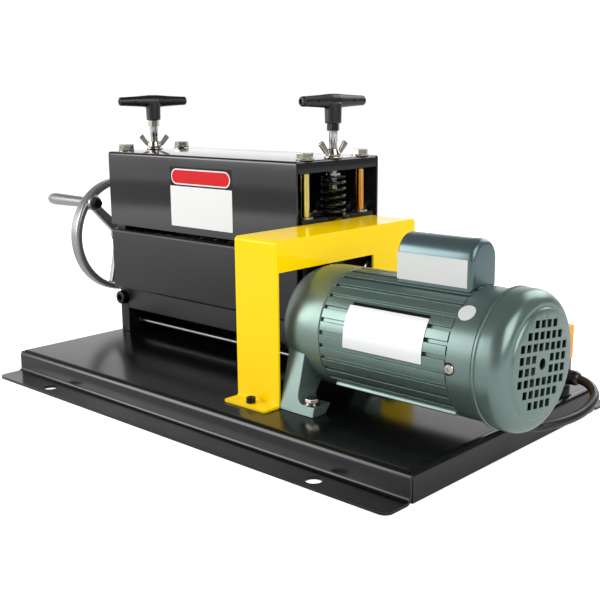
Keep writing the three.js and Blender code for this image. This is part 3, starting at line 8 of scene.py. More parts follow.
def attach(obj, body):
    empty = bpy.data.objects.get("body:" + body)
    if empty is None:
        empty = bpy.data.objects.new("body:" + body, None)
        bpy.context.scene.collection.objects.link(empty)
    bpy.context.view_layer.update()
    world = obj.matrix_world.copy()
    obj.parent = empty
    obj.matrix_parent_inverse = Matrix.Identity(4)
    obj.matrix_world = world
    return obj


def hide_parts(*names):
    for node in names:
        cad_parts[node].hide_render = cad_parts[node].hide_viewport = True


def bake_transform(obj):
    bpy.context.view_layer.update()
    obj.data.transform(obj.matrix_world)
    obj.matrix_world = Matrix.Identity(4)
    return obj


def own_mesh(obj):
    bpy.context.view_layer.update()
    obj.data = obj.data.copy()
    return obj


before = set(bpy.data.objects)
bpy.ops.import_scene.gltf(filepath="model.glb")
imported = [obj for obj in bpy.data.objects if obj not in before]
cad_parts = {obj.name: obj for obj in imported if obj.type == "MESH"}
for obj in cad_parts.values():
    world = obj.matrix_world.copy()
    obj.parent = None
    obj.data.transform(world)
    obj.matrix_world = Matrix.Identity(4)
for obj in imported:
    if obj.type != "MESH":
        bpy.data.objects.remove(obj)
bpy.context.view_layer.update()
scene = bpy.context.scene

# Pieces are drawn in the machine's own millimetres and moved to the frame's metres at the end
machine = {"shiftX": 0.0565, "metresPerMm": 0.001}
toFrame = Matrix.Translation((machine["shiftX"], 0, 0)) @ Matrix.Scale(machine["metresPerMm"], 4)
headCentreY = 45
feedAxis = (0, headCentreY, 150)
bladeAxis = (0, headCentreY, 193.6)
motorAxis = (0, -46.2, 109.6)
screwX = {"left": -290.1, "right": 35.1}

# Camera: fitted to the photograph, 600 x 600
camera = {
    "place": (0.83435, -0.80319, 0.34887), "azimuth": 43.23, "elevation": 12.06, "roll": -0.56,
    "lens": 58.385, "sensor": 36.0, "near": 0.01, "far": 50,
}


def addCamera():
    data = bpy.data.cameras.new("camera")
    data.lens, data.sensor_width = camera["lens"], camera["sensor"]
    data.clip_start, data.clip_end = camera["near"], camera["far"]
    rig = bpy.data.objects.new("camera", data)
    turn, tilt = math.radians(camera["azimuth"]), math.radians(camera["elevation"])
    back = Vector((math.sin(turn) * math.cos(tilt), -math.cos(turn) * math.cos(tilt), math.sin(tilt)))
    upright = (-back).to_track_quat("-Z", "Y").to_matrix()
    rolled = upright @ Matrix.Rotation(math.radians(camera["roll"]), 3, "Z")
    rig.matrix_world = Matrix.Translation(camera["place"]) @ rolled.to_4x4()
    scene.collection.objects.link(rig)
    scene.camera = rig


addCamera()
print("camera placed")


# Materials


def linear(code):
    channels = [int(code[i:i + 2], 16) / 255 for i in (1, 3, 5)]
    return [c / 12.92 if c <= 0.04045 else ((c + 0.055) / 1.055) ** 2.4 for c in channels] + [1.0]


def perMetre(sizeInMm):
    return 1000 / sizeInMm


def addNode(tree, kind, settings=None, inputs=None):
    made = tree.nodes.new(f"ShaderNode{kind}")
    for name, value in (settings or {}).items():
        setattr(made, name, value)
    for name, value in (inputs or {}).items():
        if isinstance(value, bpy.types.NodeSocket):
            tree.links.new(value, made.inputs[name])
        else:
            made.inputs[name].default_value = value
    return made


def emptyTree(owner):
    owner.use_nodes = True
    owner.node_tree.nodes.clear()
    return owner.node_tree


def newMaterial(name, sockets):
    material = bpy.data.materials.new(name)
    tree = emptyTree(material)
    shader = addNode(tree, "BsdfPrincipled", inputs=sockets)
    addNode(tree, "OutputMaterial", inputs={"Surface": shader.outputs[0]})
    place = addNode(tree, "TexCoord").outputs["Object"]
    return material, tree, shader, place


# Two close tones and an uneven gloss follow one pattern, a fine relief follows another
def dressed(tree, shader, pattern, tones, gloss, relief, depth):
    colour = addNode(tree, "Mix", {"data_type": "RGBA"}, {
        0: pattern, 6: linear(tones[0]), 7: linear(tones[1])})
    sheen = addNode(tree, "MapRange", {}, {
        "Value": pattern, "From Min": 0.3, "From Max": 0.7, "To Min": gloss[0], "To Max": gloss[1]})
    bump = addNode(tree, "Bump", {}, {
        "Height": relief, "Distance": depth * machine["metresPerMm"], "Strength": 1.0})
    for output, socket in ((colour.outputs[2], "Base Color"), (sheen.outputs[0], "Roughness"),
                           (bump.outputs[0], "Normal")):
        tree.links.new(output, shader.inputs[socket])


# One coat or skin: tones and gloss in slow patches, relief of its own size
def coated(name, tones, patch, gloss, relief, depth, sockets=None):
    material, tree, shader, place = newMaterial(name, sockets or {})
    cloud = addNode(tree, "TexNoise", {}, {"Vector": place, "Scale": perMetre(patch), "Detail": 3.0})
    skin = addNode(tree, "TexNoise", {}, {"Vector": place, "Scale": perMetre(relief), "Detail": 2.0})
    dressed(tree, shader, cloud.outputs["Fac"], tones, gloss, skin.outputs["Fac"], depth)
    return material


# Bare or plated metal with tool marks: noise drawn out along one direction
def toolMarked(name, tones, marks, gloss, depth, metallic=1.0):
    material, tree, shader, place = newMaterial(name, {"Metallic": metallic})
    stretched = addNode(tree, "Mapping", {}, {"Vector": place, "Scale": [perMetre(size) for size in marks]})
    streak = addNode(tree, "TexNoise", {}, {"Vector": stretched.outputs[0], "Scale": 1.0, "Detail": 4.0})
    dressed(tree, shader, streak.outputs["Fac"], tones, gloss, streak.outputs["Fac"], depth)
    return material


# Yellow chromate over zinc: its colour runs from olive through gold to rose, darker towards the rear
def chromated(name, tones, band, gloss):
    material, tree, shader, place = newMaterial(name, {"Metallic": 1.0})
    stretched = addNode(tree, "Mapping", {}, {"Vector": place, "Scale": [perMetre(size) for size in band]})
    cloud = addNode(tree, "TexNoise", {}, {"Vector": stretched.outputs[0], "Scale": 1.0, "Detail": 1.0})
    along = addNode(tree, "SeparateXYZ", {}, {"Vector": place})
    rearward = addNode(tree, "MapRange", {}, {
        "Value": along.outputs["Y"], "From Min": -0.01, "From Max": 0.1, "To Min": -0.08, "To Max": 0.3})
    depth = addNode(tree, "Math", {"operation": "ADD"}, {0: rearward.outputs[0], 1: cloud.outputs["Fac"]})
    ramp = addNode(tree, "ValToRGB", {}, {"Fac": depth.outputs[0]})
    stops = ramp.color_ramp.elements
    for stop, position, tone in zip(stops, (0.25, 1.0), (tones[0], tones[-1])):
        stop.position, stop.color = position, linear(tone)
    for position, tone in zip((0.5, 0.75), tones[1:-1]):
        stops.new(position).color = linear(tone)
    sheen = addNode(tree, "MapRange", {}, {
        "Value": cloud.outputs["Fac"], "To Min": gloss[0], "To Max": gloss[1]})
    tree.links.new(ramp.outputs[0], shader.inputs["Base Color"])
    tree.links.new(sheen.outputs[0], shader.inputs["Roughness"])
    return material


faintGloss = {"Specular IOR Level": 0.16}  # pigment-rich coats look deeper than the full reflection would let them
metalFlake = {"Metallic": 0.68}
# Each finish: the slot of the pieces that it leads, the process, then the process's own values
recipes = {
    # Polyester powder coat baked on steel: near-black, glossy, with a faint orange peel
    "blackPowderCoat": ("black_powder_coat", coated, ("#0b0b0c", "#09090a"), 90, (0.16, 0.22), 3.2, 0.003,
                        {"Specular IOR Level": 0.4}),
    # A drier black coat on the head's lower sheets and plates
    "blackSatinCoat": ("black_powder_coat", coated, ("#1a1a1b", "#161617"), 90, (0.3, 0.38), 2.4, 0.005,
                       {"Specular IOR Level": 0.34}),
    # The same coat on the hood's sheet, flatter and glossier
    "blackGlossCoat": ("black_powder_coat", coated, ("#1f1f20", "#1b1b1c"), 120, (0.07, 0.1), 4.0, 0.002),
    # Chrome-yellow powder coat: thick and glossy
    "yellowPowderCoat": ("yellow_powder_coat", coated, ("#ffd900", "#fed400"), 80, (0.13, 0.18), 3.4, 0.003,
                         faintGloss),
    # Grey-green machine enamel with aluminium flake: bright where it faces a light, dark where it turns away
    "greyGreenEnamel": ("grey_green_paint", coated, ("#6f827d", "#6a7d78"), 60, (0.27, 0.33), 2.6, 0.003, metalFlake),
    # The capacitor's own paint, a little greyer than the motor's
    "slateEnamel": ("grey_green_paint", coated, ("#5f7274", "#5a6d6f"), 60, (0.26, 0.32), 2.6, 0.003, metalFlake),
    # The motor's enamel over a sand-cast skin, which stays slightly pebbled
    "greyGreenCasting": ("grey_green_paint", coated, ("#788b85", "#73867f"), 40, (0.31, 0.39), 1.6, 0.006, metalFlake),
    # Grey metallic paint on a cast wheel
    "greyCasting": ("grey_iron", coated, ("#979796", "#8c8c8b"), 35, (0.26, 0.34), 1.4, 0.004, {"Metallic": 0.7}),
    # Bright zinc plate: slightly milky silver
    "brightZinc": ("bright_steel", toolMarked, ("#b9b9b8", "#a9aaaa"), (3, 3, 14), (0.15, 0.22), 0.003),
    # Nickel plate over a casting: warmer and deeper than zinc
    "nickelPlate": ("bright_steel", toolMarked, ("#c2bdb2", "#aca79d"), (9, 9, 9), (0.1, 0.17), 0.002),
    # Shaft steel turned along X, so the marks run round it
    "turnedSteel": ("bright_steel", toolMarked, ("#b4b5b7", "#9fa1a4"), (0.9, 30, 30), (0.22, 0.32), 0.004),
    # Plain drawn bar, rougher than turned steel, its tone darkened as painted shade for the tie rods under the head
    "drawnSteel": ("bright_steel", toolMarked, ("#77797b", "#636567"), (0.9, 30, 30), (0.3, 0.4), 0.004),
    # Ground and hardened tool steel
    "toolSteel": ("tool_steel", toolMarked, ("#c2c4c8", "#a3a6ab"), (6, 1.4, 1.4), (0.18, 0.3), 0.004),
    # Black oxide with a film of oil
    "blackOxide": ("dark_steel", toolMarked, ("#353537", "#28282a"), (6, 6, 6), (0.24, 0.36), 0.006),
    # Spring wire, drawn and lacquered black; the chain's rollers, pins and outer plates take it too, as painted shade
    # under the guard
    "springSteel": ("dark_steel", toolMarked, ("#3a3a3b", "#2c2c2d"), (8, 8, 2), (0.14, 0.22), 0.003, 0.8),
    # Sintered bronze of a plain bush
    "sinteredBronze": ("dark_steel", toolMarked, ("#a8743a", "#8d5f2c"), (2, 2, 2), (0.34, 0.46), 0.01),
    # Foil and plate of the blank signs, brushed along X
    "brushedAluminium": ("bright_steel", toolMarked, ("#e6e7e8", "#dcddde"), (40, 1.2, 1.2), (0.3, 0.4), 0.003, 0.3),
    "yellowChromate": ("yellow_zinc", chromated, ("#a8c04a", "#eade7c", "#dd8f3e", "#b4501f"), (6, 6, 110),
                       (0.16, 0.24)),
    # Moulded plastics: fine spark-eroded skin, even colour
    "blackAbs": ("black_plastic", coated, ("#151516", "#121213"), 30, (0.3, 0.36), 1.0, 0.008),
    "blackNylon": ("black_plastic", coated, ("#161617", "#121213"), 20, (0.2, 0.26), 1.0, 0.005),
    "greyAbs": ("grey_plastic", coated, ("#58595b", "#525355"), 30, (0.38, 0.44), 1.0, 0.008),
    "yellowAbs": ("yellow_plastic", coated, ("#e59c00", "#e09700"), 30, (0.26, 0.32), 1.2, 0.006, faintGloss),
    "greenAbs": ("green_plastic", coated, ("#1f9d4d", "#1a9146"), 12, (0.2, 0.26), 1.0, 0.004),
    "redAbs": ("red_plastic", coated, ("#cf2319", "#bf1d15"), 12, (0.2, 0.26), 1.0, 0.004),
    # Extruded cable sheath: soft sheen
    "blackSheath": ("black_sheath", coated, ("#1b1b1c", "#161617"), 25, (0.28, 0.36), 1.6, 0.008),
    "blackRubber": ("black_plastic", coated, ("#19191a", "#151516"), 10, (0.5, 0.6), 1.0, 0.01),
    # Printed vinyl labels
    "whiteVinyl": ("bright_steel", coated, ("#ececea", "#e8e8e6"), 60, (0.3, 0.36), 3.0, 0.002, faintGloss),
    "redVinyl": ("red_plastic", coated, ("#d60d16", "#cf0a13"), 60, (0.3, 0.36), 3.0, 0.002, faintGloss),
    "blackVinyl": ("black_plastic", coated, ("#0d0d0e", "#0a0a0b"), 60, (0.3, 0.36), 3.0, 0.002, faintGloss),
    # Pale blank label of the capacitor
    "paleGreyVinyl": ("bright_steel", coated, ("#d3d5d3", "#cdcfcd"), 60, (0.28, 0.34), 3.0, 0.002),
}
finishes = {name: process(name, *values) for name, (slotName, process, *values) in recipes.items()}
print("finishes made")


# Shape helpers: each adds to a bmesh by its operators and gives back the new corners

axes = {"x": Vector((1, 0, 0)), "y": Vector((0, 1, 0)), "z": Vector((0, 0, 1))}
outwards = {"x": axes["z"], "y": axes["x"], "z": axes["x"]}


def facesSince(bm, old):
    return [face for face in bm.faces if face not in old]


def cornersOf(faces):
    return list(dict.fromkeys(vert for face in faces for vert in face.verts))


def closeUp(bm, old, material):
    fresh = facesSince(bm, old)
    bmesh.ops.recalc_face_normals(bm, faces=fresh)
    for face in fresh:
        face.material_index = material
    return cornersOf(fresh)


# Profile of (along, radius) pairs spun about an axis through the centre
def turned(bm, axis, centre, profile, steps=48, material=0, closed=False):
    old = set(bm.faces)
    along, out, centre = axes[axis], outwards[axis], Vector(centre)
    verts = [bm.verts.new(centre + along * a + out * r) for a, r in profile]
    edges = [bm.edges.new(pair) for pair in zip(verts, verts[1:] + verts[:1] if closed else verts[1:])]
    bmesh.ops.spin(bm, geom=verts + edges, cent=centre, axis=along, angle=math.tau, steps=steps, use_merge=True)
    bmesh.ops.remove_doubles(bm, verts=cornersOf(facesSince(bm, old)), dist=0.0005)
    return closeUp(bm, old, material)


def disc(bm, axis, centre, start, end, radius, steps=48, material=0):
    return turned(bm, axis, centre, [(start, 0), (start, radius), (end, radius), (end, 0)], steps, material)


def ring(bm, axis, centre, start, end, inner, outer, steps=48, material=0):
    profile = [(start, inner), (start, outer), (end, outer), (end, inner)]
    return turned(bm, axis, centre, profile, steps, material, True)


def planar(axis, u, v, along):
    return {"x": (along, u, v), "y": (u, along, v), "z": (u, v, along)}[axis]


def carried(bm, made, way):
    bmesh.ops.translate(bm, vec=way, verts=[g for g in made["geom"] if isinstance(g, bmesh.types.BMVert)])


# A flat outline pushed along an axis
def pushed(bm, axis, outline, start, end, material=0):
    old = set(bm.faces)
    face = bm.faces.new([bm.verts.new(planar(axis, u, v, start)) for u, v in outline])
    carried(bm, bmesh.ops.extrude_face_region(bm, geom=[face]), axes[axis] * (end - start))
    return closeUp(bm, old, material)


def cuboid(bm, x, y, z, material=0):
    old = set(bm.faces)
    middle = [(a + b) / 2 for a, b in (x, y, z)]
    size = [abs(b - a) for a, b in (x, y, z)]
    bmesh.ops.create_cube(bm, size=1, matrix=Matrix.Translation(middle) @ Matrix.Diagonal((*size, 1)))
    return closeUp(bm, old, material)


# Corners turned about an axis through the origin, then moved
def moved(bm, verts, angle, axis, to=(0, 0, 0)):
    bmesh.ops.rotate(bm, cent=(0, 0, 0), matrix=Matrix.Rotation(angle, 3, axis), verts=verts)
    bmesh.ops.translate(bm, vec=to, verts=verts)


# Points of a circle's or ellipse's arc, angles in degrees
def arc(centre, radii, start, end, steps):
    angles = [math.radians(start + (end - start) * i / steps) for i in range(steps + 1)]
    return [(centre[0] + radii[0] * math.cos(a), centre[1] + radii[1] * math.sin(a)) for a in angles]


def roundedOutline(x, y, corner, steps=6):
    corners = ((x[1] - corner, y[0] + corner, -90), (x[1] - corner, y[1] - corner, 0),
               (x[0] + corner, y[1] - corner, 90), (x[0] + corner, y[0] + corner, 180))
    return [point for u, v, start in corners for point in arc((u, v), (corner, corner), start, start + 90, steps)]


# Hexagon head with its corners chamfered towards a smaller face
def hexHead(bm, axis, centre, flats, start, end, material=0):
    old = set(bm.faces)
    corner = flats / math.sqrt(3)
    way = math.copysign(1, end - start)
    narrow, depth = corner * 0.1, corner * 0.055
    middle = [place for name, place in zip("xyz", centre) if name != axis]
    pushed(bm, axis, arc(middle, (corner, corner), 0, 300, 5), start, end - way * depth)
    top = max(facesSince(bm, old), key=lambda face: way * face.calc_center_median().dot(axes[axis]))
    bmesh.ops.inset_region(bm, faces=[top], thickness=narrow * math.cos(math.radians(30)), depth=depth,
                           use_even_offset=True)
    return closeUp(bm, old, material)


def standIn(name, bm):
    mesh = bpy.data.meshes.new(name)
    bm.to_mesh(mesh)
    bm.free()
    thing = bpy.data.objects.new(name, mesh)
    scene.collection.objects.link(thing)
    return thing


def discarded(thing):
    mesh = thing.data
    bpy.data.objects.remove(thing)
    bpy.data.meshes.remove(mesh)


# Runs modifiers on loose geometry and gives back the result
def worked(bm, *steps):
    holder = standIn("work", bm)
    for kind, settings in steps:
        modifier = holder.modifiers.new(kind, kind)
        for name, value in settings.items():
            setattr(modifier, name, value)
    shaped = bpy.data.meshes.new_from_object(holder.evaluated_get(bpy.context.evaluated_depsgraph_get()))
    result = bmesh.new()
    result.from_mesh(shaped)
    bpy.data.meshes.remove(shaped)
    discarded(holder)
    return result


def combined(bm, other, operation="DIFFERENCE"):
    tool = standIn("tool", other)
    result = worked(bm, ("BOOLEAN", {"operation": operation, "solver": "EXACT", "object": tool}))
    discarded(tool)
    return result


def merged(bm, part):
    mesh = bpy.data.meshes.new("part")
    part.to_mesh(mesh)
    part.free()
    bm.from_mesh(mesh)
    bpy.data.meshes.remove(mesh)
    return bm


# A sheet folded along one axis: a line of corners is extruded, the bends rolled, then thickness given
def foldedSheet(axis, path, start, end, thickness, insideBend, roundCorners=0.0):
    bm = bmesh.new()
    verts = [bm.verts.new(planar(axis, u, v, start)) for u, v in path]
    edges = [bm.edges.new(pair) for pair in zip(verts, verts[1:])]
    carried(bm, bmesh.ops.extrude_edge_only(bm, edges=edges), axes[axis] * (end - start))
    bmesh.ops.recalc_face_normals(bm, faces=bm.faces[:])
    if roundCorners:
        ends = [v for v in bm.verts if len(v.link_faces) == 1]
        bmesh.ops.bevel(bm, geom=ends, offset=roundCorners, segments=6, profile=0.5, affect="VERTICES", material=-1)
    bends = [e for e in bm.edges if len(e.link_faces) == 2]
    bmesh.ops.bevel(bm, geom=bends, offset=insideBend + thickness / 2, segments=6, profile=0.5, affect="EDGES",
                    material=-1)
    return worked(bm, ("SOLIDIFY", {"thickness": thickness, "offset": 0.0, "use_even_offset": True}))


# Cast or moulded: loose overlapping solids become one skin with soft inner corners
def fused(bm, voxel, rounds):
    return worked(
        bm, ("REMESH", {"mode": "VOXEL", "voxel_size": voxel}), ("SMOOTH", {"factor": 0.5, "iterations": rounds}))


# The finished piece, with its edges broken by a small bevel
def addPiece(name, bm, finishNames, node=None, edge=0.4, segments=2, limit=32, body="frame",
             inFrame=False):
    if not inFrame:
        bm.transform(toFrame)
    piece = standIn(name, bm)
    mesh = piece.data
    mesh.polygons.foreach_set("use_smooth", [True] * len(mesh.polygons))
    for finishName in finishNames:
        mesh.materials.append(finishes[finishName])
    if edge:
        bevel = piece.modifiers.new("edges", "BEVEL")
        bevel.width = edge * machine["metresPerMm"]
        bevel.segments = segments
        bevel.limit_method = "ANGLE"
        bevel.angle_limit = math.radians(limit)
        bevel.harden_normals = True
    else:
        mesh.set_sharp_from_angle(angle=math.radians(limit))
    if body:
        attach(piece, body)
    if node:
        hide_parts(node)
    return piece


# A plain CAD solid with its doubles merged, flat faces joined and edges broken
def refined(node, finishNames, edge, body="frame", extra=None):
    bm = bmesh.new()
    bm.from_mesh(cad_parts[node].data)
    bmesh.ops.remove_doubles(bm, verts=bm.verts[:], dist=1e-6)
    bmesh.ops.dissolve_limit(bm, angle_limit=math.radians(1), verts=bm.verts[:], edges=bm.edges[:])
    if extra:
        extra.transform(toFrame)
        bm = merged(bm, extra)
    addPiece(f"{node}_finished", bm, finishNames, node, edge, body=body, inFrame=True)


# Lead from the switch box to the motor: rubber sheath, both ends in glands
lead = {
    "radius": 4.9,
    "route": [
        (302.1, 133, 44.8), (304.5, 133, 44.7), (317.8, 130.3, 43.1), (329.5, 122.5, 39.9), (337.3, 110.8, 35.6),
        (340, 97, 31.5), (340.3, 84, 28.4), (338.9, 70, 26.2), (335.9, 56, 24.9), (332, 43, 24.1), (327.6, 32, 23.5),
        (323.4, 23.3, 23.3), (319.9, 14.6, 24.5), (317.3, 6.5, 27.8), (315.6, -0.7, 33.1), (315, -6.1, 40.15),
        (315, -7.35, 42.31),
    ],
    "pointsPerStretch": 6,
}


# Points of the centripetal curve through the route, as the source's curve has them
def alongRoute(route, perStretch):
    points = [Vector(p) for p in route]
    ends = [points[0] * 2 - points[1], *points, points[-1] * 2 - points[-2]]
    result = []
    for i in range(1, len(ends) - 2):
        p0, p1, p2, p3 = ends[i - 1:i + 3]
        times = [0.0]
        for a, b in ((p0, p1), (p1, p2), (p2, p3)):
            times.append(times[-1] + math.sqrt((b - a).length))
        t0, t1, t2, t3 = times
        for step in range(perStretch):
            t = t1 + (t2 - t1) * step / perStretch
            a1 = p0.lerp(p1, (t - t0) / (t1 - t0))
            a2 = p1.lerp(p2, (t - t1) / (t2 - t1))
            a3 = p2.lerp(p3, (t - t2) / (t3 - t2))
            b1 = a1.lerp(a2, (t - t0) / (t2 - t0))
            b2 = a2.lerp(a3, (t - t1) / (t3 - t1))
            result.append(b1.lerp(b2, (t - t1) / (t2 - t1)))
    return result + [points[-1]]


def addLead():
    points = [toFrame @ p for p in alongRoute(lead["route"], lead["pointsPerStretch"])]
    curve = bpy.data.curves.new("motor_lead_cable", "CURVE")
    curve.dimensions = "3D"
    curve.bevel_depth = lead["radius"] * machine["metresPerMm"]
    curve.bevel_resolution = 6
    curve.use_fill_caps = True
    line = curve.splines.new("POLY")
    line.points.add(len(points) - 1)
    for spot, point in zip(line.points, points):
        spot.co = (*point, 1)
    curve.materials.append(finishes["blackSheath"])
    cable = bpy.data.objects.new("motor_lead_cable", curve)
    scene.collection.objects.link(cable)
    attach(cable, "frame")
    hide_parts("motor_lead")
    length = sum((b - a).length for a, b in zip(points, points[1:]))
    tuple(points[0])
    print(f"lead laid, {length * 1000:.0f} mm")


addLead()

# Base pan: folded sheet with a flange along each long side and a flap folded down at each end
basePan = {
    "halfLength": 310, "wallMiddle": 168.5, "flangeTip": 202.5, "topMiddle": 28, "flangeMiddle": 1.5, "sheet": 3,
    "bend": 4.5, "flangeCorner": 9, "flapHalf": 165.8, "flapEnd": 308.5, "notchFrom": 304.5, "notchTo": 320,
    "notchHalf": 167, "notchLow": 25, "notchHigh": 40, "holeX": 215, "holeY": 188.5, "holeRadius": 8.5,
    "holeCut": (-5, 8),
}


def addBasePan():
    b = basePan
    half, tip, top, foot = b["wallMiddle"], b["flangeTip"], b["topMiddle"], b["flangeMiddle"]
    path = [(-tip, foot), (-half, foot), (-half, top), (half, top), (half, foot), (tip, foot)]
    pan = foldedSheet("x", path, -b["halfLength"], b["halfLength"], b["sheet"], b["bend"], b["flangeCorner"])
    cutter = bmesh.new()
    for side in (-1, 1):
        cuboid(cutter, sorted((side * b["notchFrom"], side * b["notchTo"])), (-b["notchHalf"], b["notchHalf"]),
               (b["notchLow"], b["notchHigh"]))
        for edge in (-1, 1):
            disc(cutter, "z", (side * b["holeX"], edge * b["holeY"], 0), *b["holeCut"], b["holeRadius"], 40)
    pan = combined(pan, cutter)
    for side in (-1, 1):
        flap = [(side * (b["notchFrom"] - 1), top), (side * b["flapEnd"], top), (side * b["flapEnd"], 0)]
        pan = merged(pan, foldedSheet("y", flap, -b["flapHalf"], b["flapHalf"], b["sheet"], b["bend"]))
    addPiece("base_pan_sheet", pan, ["blackPowderCoat"], "base_pan", 0.5)


addBasePan()

# Hood and lower covers: folded sheets round the head
hood = {
    "left": -298.6, "right": 43.6, "front": -25.25, "rear": 115.25, "low": 178.5, "topMiddle": 273.15, "sheet": 2.5,
    "bend": 1.2, "lipLow": 261.4, "lipFront": -23.2, "lipRear": 113.2, "notch": 3.7,
    "notchY": (-24, 114), "notchZ": (269.4, 280),
}
lowerCover = {"low": 93.15, "high": 170.55, "depth": 7.45}


def addHood():
    h = hood
    front, rear, top = h["front"], h["rear"], h["topMiddle"]
    shell = foldedSheet("x", [(front, h["low"]), (front, top), (rear, top), (rear, h["low"])], h["left"], h["right"],
                        h["sheet"], h["bend"])
    ends = ((h["left"], -1), (h["right"], 1))
    cutter = bmesh.new()
    for end, way in ends:
        cuboid(cutter, sorted((end - way * h["notch"], end + way * 5)), h["notchY"], h["notchZ"])
    shell = combined(shell, cutter)
    for end, way in ends:
        skin = end - way * h["sheet"] / 2
        lip = [(end - way * (h["notch"] + 1), top), (skin, top), (skin, h["lipLow"])]
        shell = merged(shell, foldedSheet("y", lip, h["lipFront"], h["lipRear"], h["sheet"], h["bend"]))
    addPiece("hood_sheet", shell, ["blackGlossCoat"], "hood", 0.5)


def addLowerCovers():
    c = lowerCover
    for name, skin, way in (("lower_front_cover", hood["front"], 1), ("lower_rear_cover", hood["rear"], -1)):
        edge = skin + way * c["depth"]
        tray = foldedSheet("x", [(edge, c["low"]), (skin, c["low"]), (skin, c["high"]), (edge, c["high"])],
                           hood["left"], hood["right"], hood["sheet"], hood["bend"])
        addPiece(f"{name}_sheet", tray, ["blackSatinCoat"], name, 0.5)


addHood()
addLowerCovers()

# Yellow guard over the chain, held down by two socket screws with nuts below the base
guard = {
    "left": 44, "right": 105, "front": -119.45, "rear": 107.75, "low": 31.05, "topMiddle": 202.55, "sheet": 2.5,
    "bend": 2, "footFront": -141.7, "footRear": 130, "footCorner": 2.5, "openingFront": -118.2, "openingRear": 33,
    "openingTop": 171.3, "panelLow": 33, "cut": 2, "screws": {"guard_screw_front": -131.2, "guard_screw_rear": 119.5},
}
guardScrew = {
    "x": 74.5, "seat": 32.6, "radius": 5, "height": 6, "chamfer": 0.5, "socket": 2.9, "socketDepth": 3, "shank": 3,
    "low": 21.4, "nutTop": 26.2, "nutFlats": 10,
}


def addGuard():
    g = guard
    front, rear, top, low = g["front"], g["rear"], g["topMiddle"], g["panelLow"]
    path = [(g["footFront"], g["low"]), (front, g["low"]), (front, top), (rear, top), (rear, g["low"]),
            (g["footRear"], g["low"])]
    strip = foldedSheet("x", path, g["left"], g["right"], g["sheet"], g["bend"], g["footCorner"])
    panel = bmesh.new()
    half, cut = g["sheet"] / 2, g["cut"]
    outline = [
        (rear - half, low), (rear, low + cut), (rear, top - cut), (rear - cut, top), (front + cut, top),
        (front, top - cut), (front, low + cut), (front + half, low), (g["openingFront"], low),
        (g["openingFront"], g["openingTop"]), (g["openingRear"], g["openingTop"]), (g["openingRear"], low),
    ]
    pushed(panel, "x", outline, g["right"] - g["sheet"], g["right"])
    addPiece("guard_sheet", combined(strip, panel, "UNION"), ["yellowPowderCoat"], "guard", 1.1, 4)


def addGuardScrew(name, y):
    g = guardScrew
    bm = bmesh.new()
    at, low, top, floor = (g["x"], y, 0), g["seat"], g["seat"] + g["height"], g["seat"] + g["socketDepth"]
    turned(bm, "z", at, [(low, 0), (low, g["radius"]), (top - g["chamfer"], g["radius"]),
                         (top, g["radius"] - g["chamfer"]), (top, g["socket"]), (floor, g["socket"]), (floor, 0)], 32)
    disc(bm, "z", at, g["low"], low, g["shank"], 24)
    hexHead(bm, "z", at, g["nutFlats"], g["nutTop"], g["low"])
    addPiece(f"{name}_socket", bm, ["blackOxide"], name, 0.15)


addGuard()
for name, y in guard["screws"].items():
    addGuardScrew(name, y)
print("sheets folded")

# Head frame: side plates, cross bars, top plate, guide
for name in ("side_plate_left", "side_plate_right", "crossbar_front", "crossbar_rear"):
    refined(name, ["blackSatinCoat"], 0.6)
refined("top_plate", ["blackOxide"], 0.5)
refined("wire_guide", ["brightZinc"], 0.4)

# Bare plate that closes the head's rear below the crossbar: no light comes from behind there in the photograph
rearSkirt = {
    "left": -281.3, "right": 26.3, "near": 102.9, "far": 104.9, "low": 30, "high": 66, "boltIn": 18, "boltDown": 7,
    "boltFlats": 8,
}


def addRearSkirt():
    r = rearSkirt
    bm = bmesh.new()
    cuboid(bm, (r["left"], r["right"]), (r["near"], r["far"]), (r["low"], r["high"]))
    for x in (r["left"] + r["boltIn"], r["right"] - r["boltIn"]):
        hexHead(bm, "y", (x, 0, r["high"] - r["boltDown"]), r["boltFlats"], r["far"] - 0.2, r["far"] + 3)
    addPiece("rear_skirt_plate", bm, ["blackSatinCoat"], edge=0.4)


# Black flanged bolts that hold the front crossbar's ends
coverBolt = {"z": 77.5, "seat": -17.7, "washer": 9.8, "washerWidth": 1.6, "head": 9, "headWidth": 6.4, "socket": 4.2,
             "crown": ((1.6, 0), (0.5, -0.5), (0, -1.8)), "socketDepth": 3.5}


def addCoverBolts():
    c = coverBolt
    bm = bmesh.new()
    seat, head, socket = c["seat"] - c["washerWidth"], c["head"], c["socket"]
    face = seat - c["headWidth"]
    floor = face + c["socketDepth"]
    for x in screwX.values():
        at = (x, 0, c["z"])
        disc(bm, "y", at, c["seat"], seat, c["washer"], 40)
        crown = [(face + a, head + r) for a, r in c["crown"]]
        turned(bm, "y", at, [(seat, 0), (seat, head), *crown, (face, socket), (floor, socket), (floor, 0)], 40)
    addPiece("crossbar_end_bolts", bm, ["blackOxide"], edge=0.25)


# Tie rods with a nut on each face of both side plates
tieRod = {
    "radius": 2.6, "left": -302.9, "right": 47.9, "z": 44.3, "nutFlats": 8, "nutWidth": 4,
    "nuts": ((-298.9, -1), (43.9, 1), (-281.3, 1), (26.3, -1)), "y": {"tie_rod_front": 0.5, "tie_rod_rear": 89.5},
}


def addTieRod(name, y):
    t = tieRod
    bm = bmesh.new()
    centre = (0, y, t["z"])
    disc(bm, "x", centre, t["left"], t["right"], t["radius"], 24)
    for start, way in t["nuts"]:
        hexHead(bm, "x", centre, t["nutFlats"], start, start + way * t["nutWidth"])
    # The bars' darkened drawn steel is painted shade under the head
    addPiece(f"{name}_bar", bm, ["drawnSteel"], name, 0.2)


addRearSkirt()
addCoverBolts()
for name, y in tieRod["y"].items():
    addTieRod(name, y)

# Ball bearings: two ground rings with a rubber shield sunk between them
bearing = {
    "outer": 21, "inner": 12.8, "width": 15, "ring": 3, "sunk": 1, "overlap": 0.2,
    "faces": {"feed_bearing_left": (-297.6, -1), "feed_bearing_right": (42.6, 1)},
}


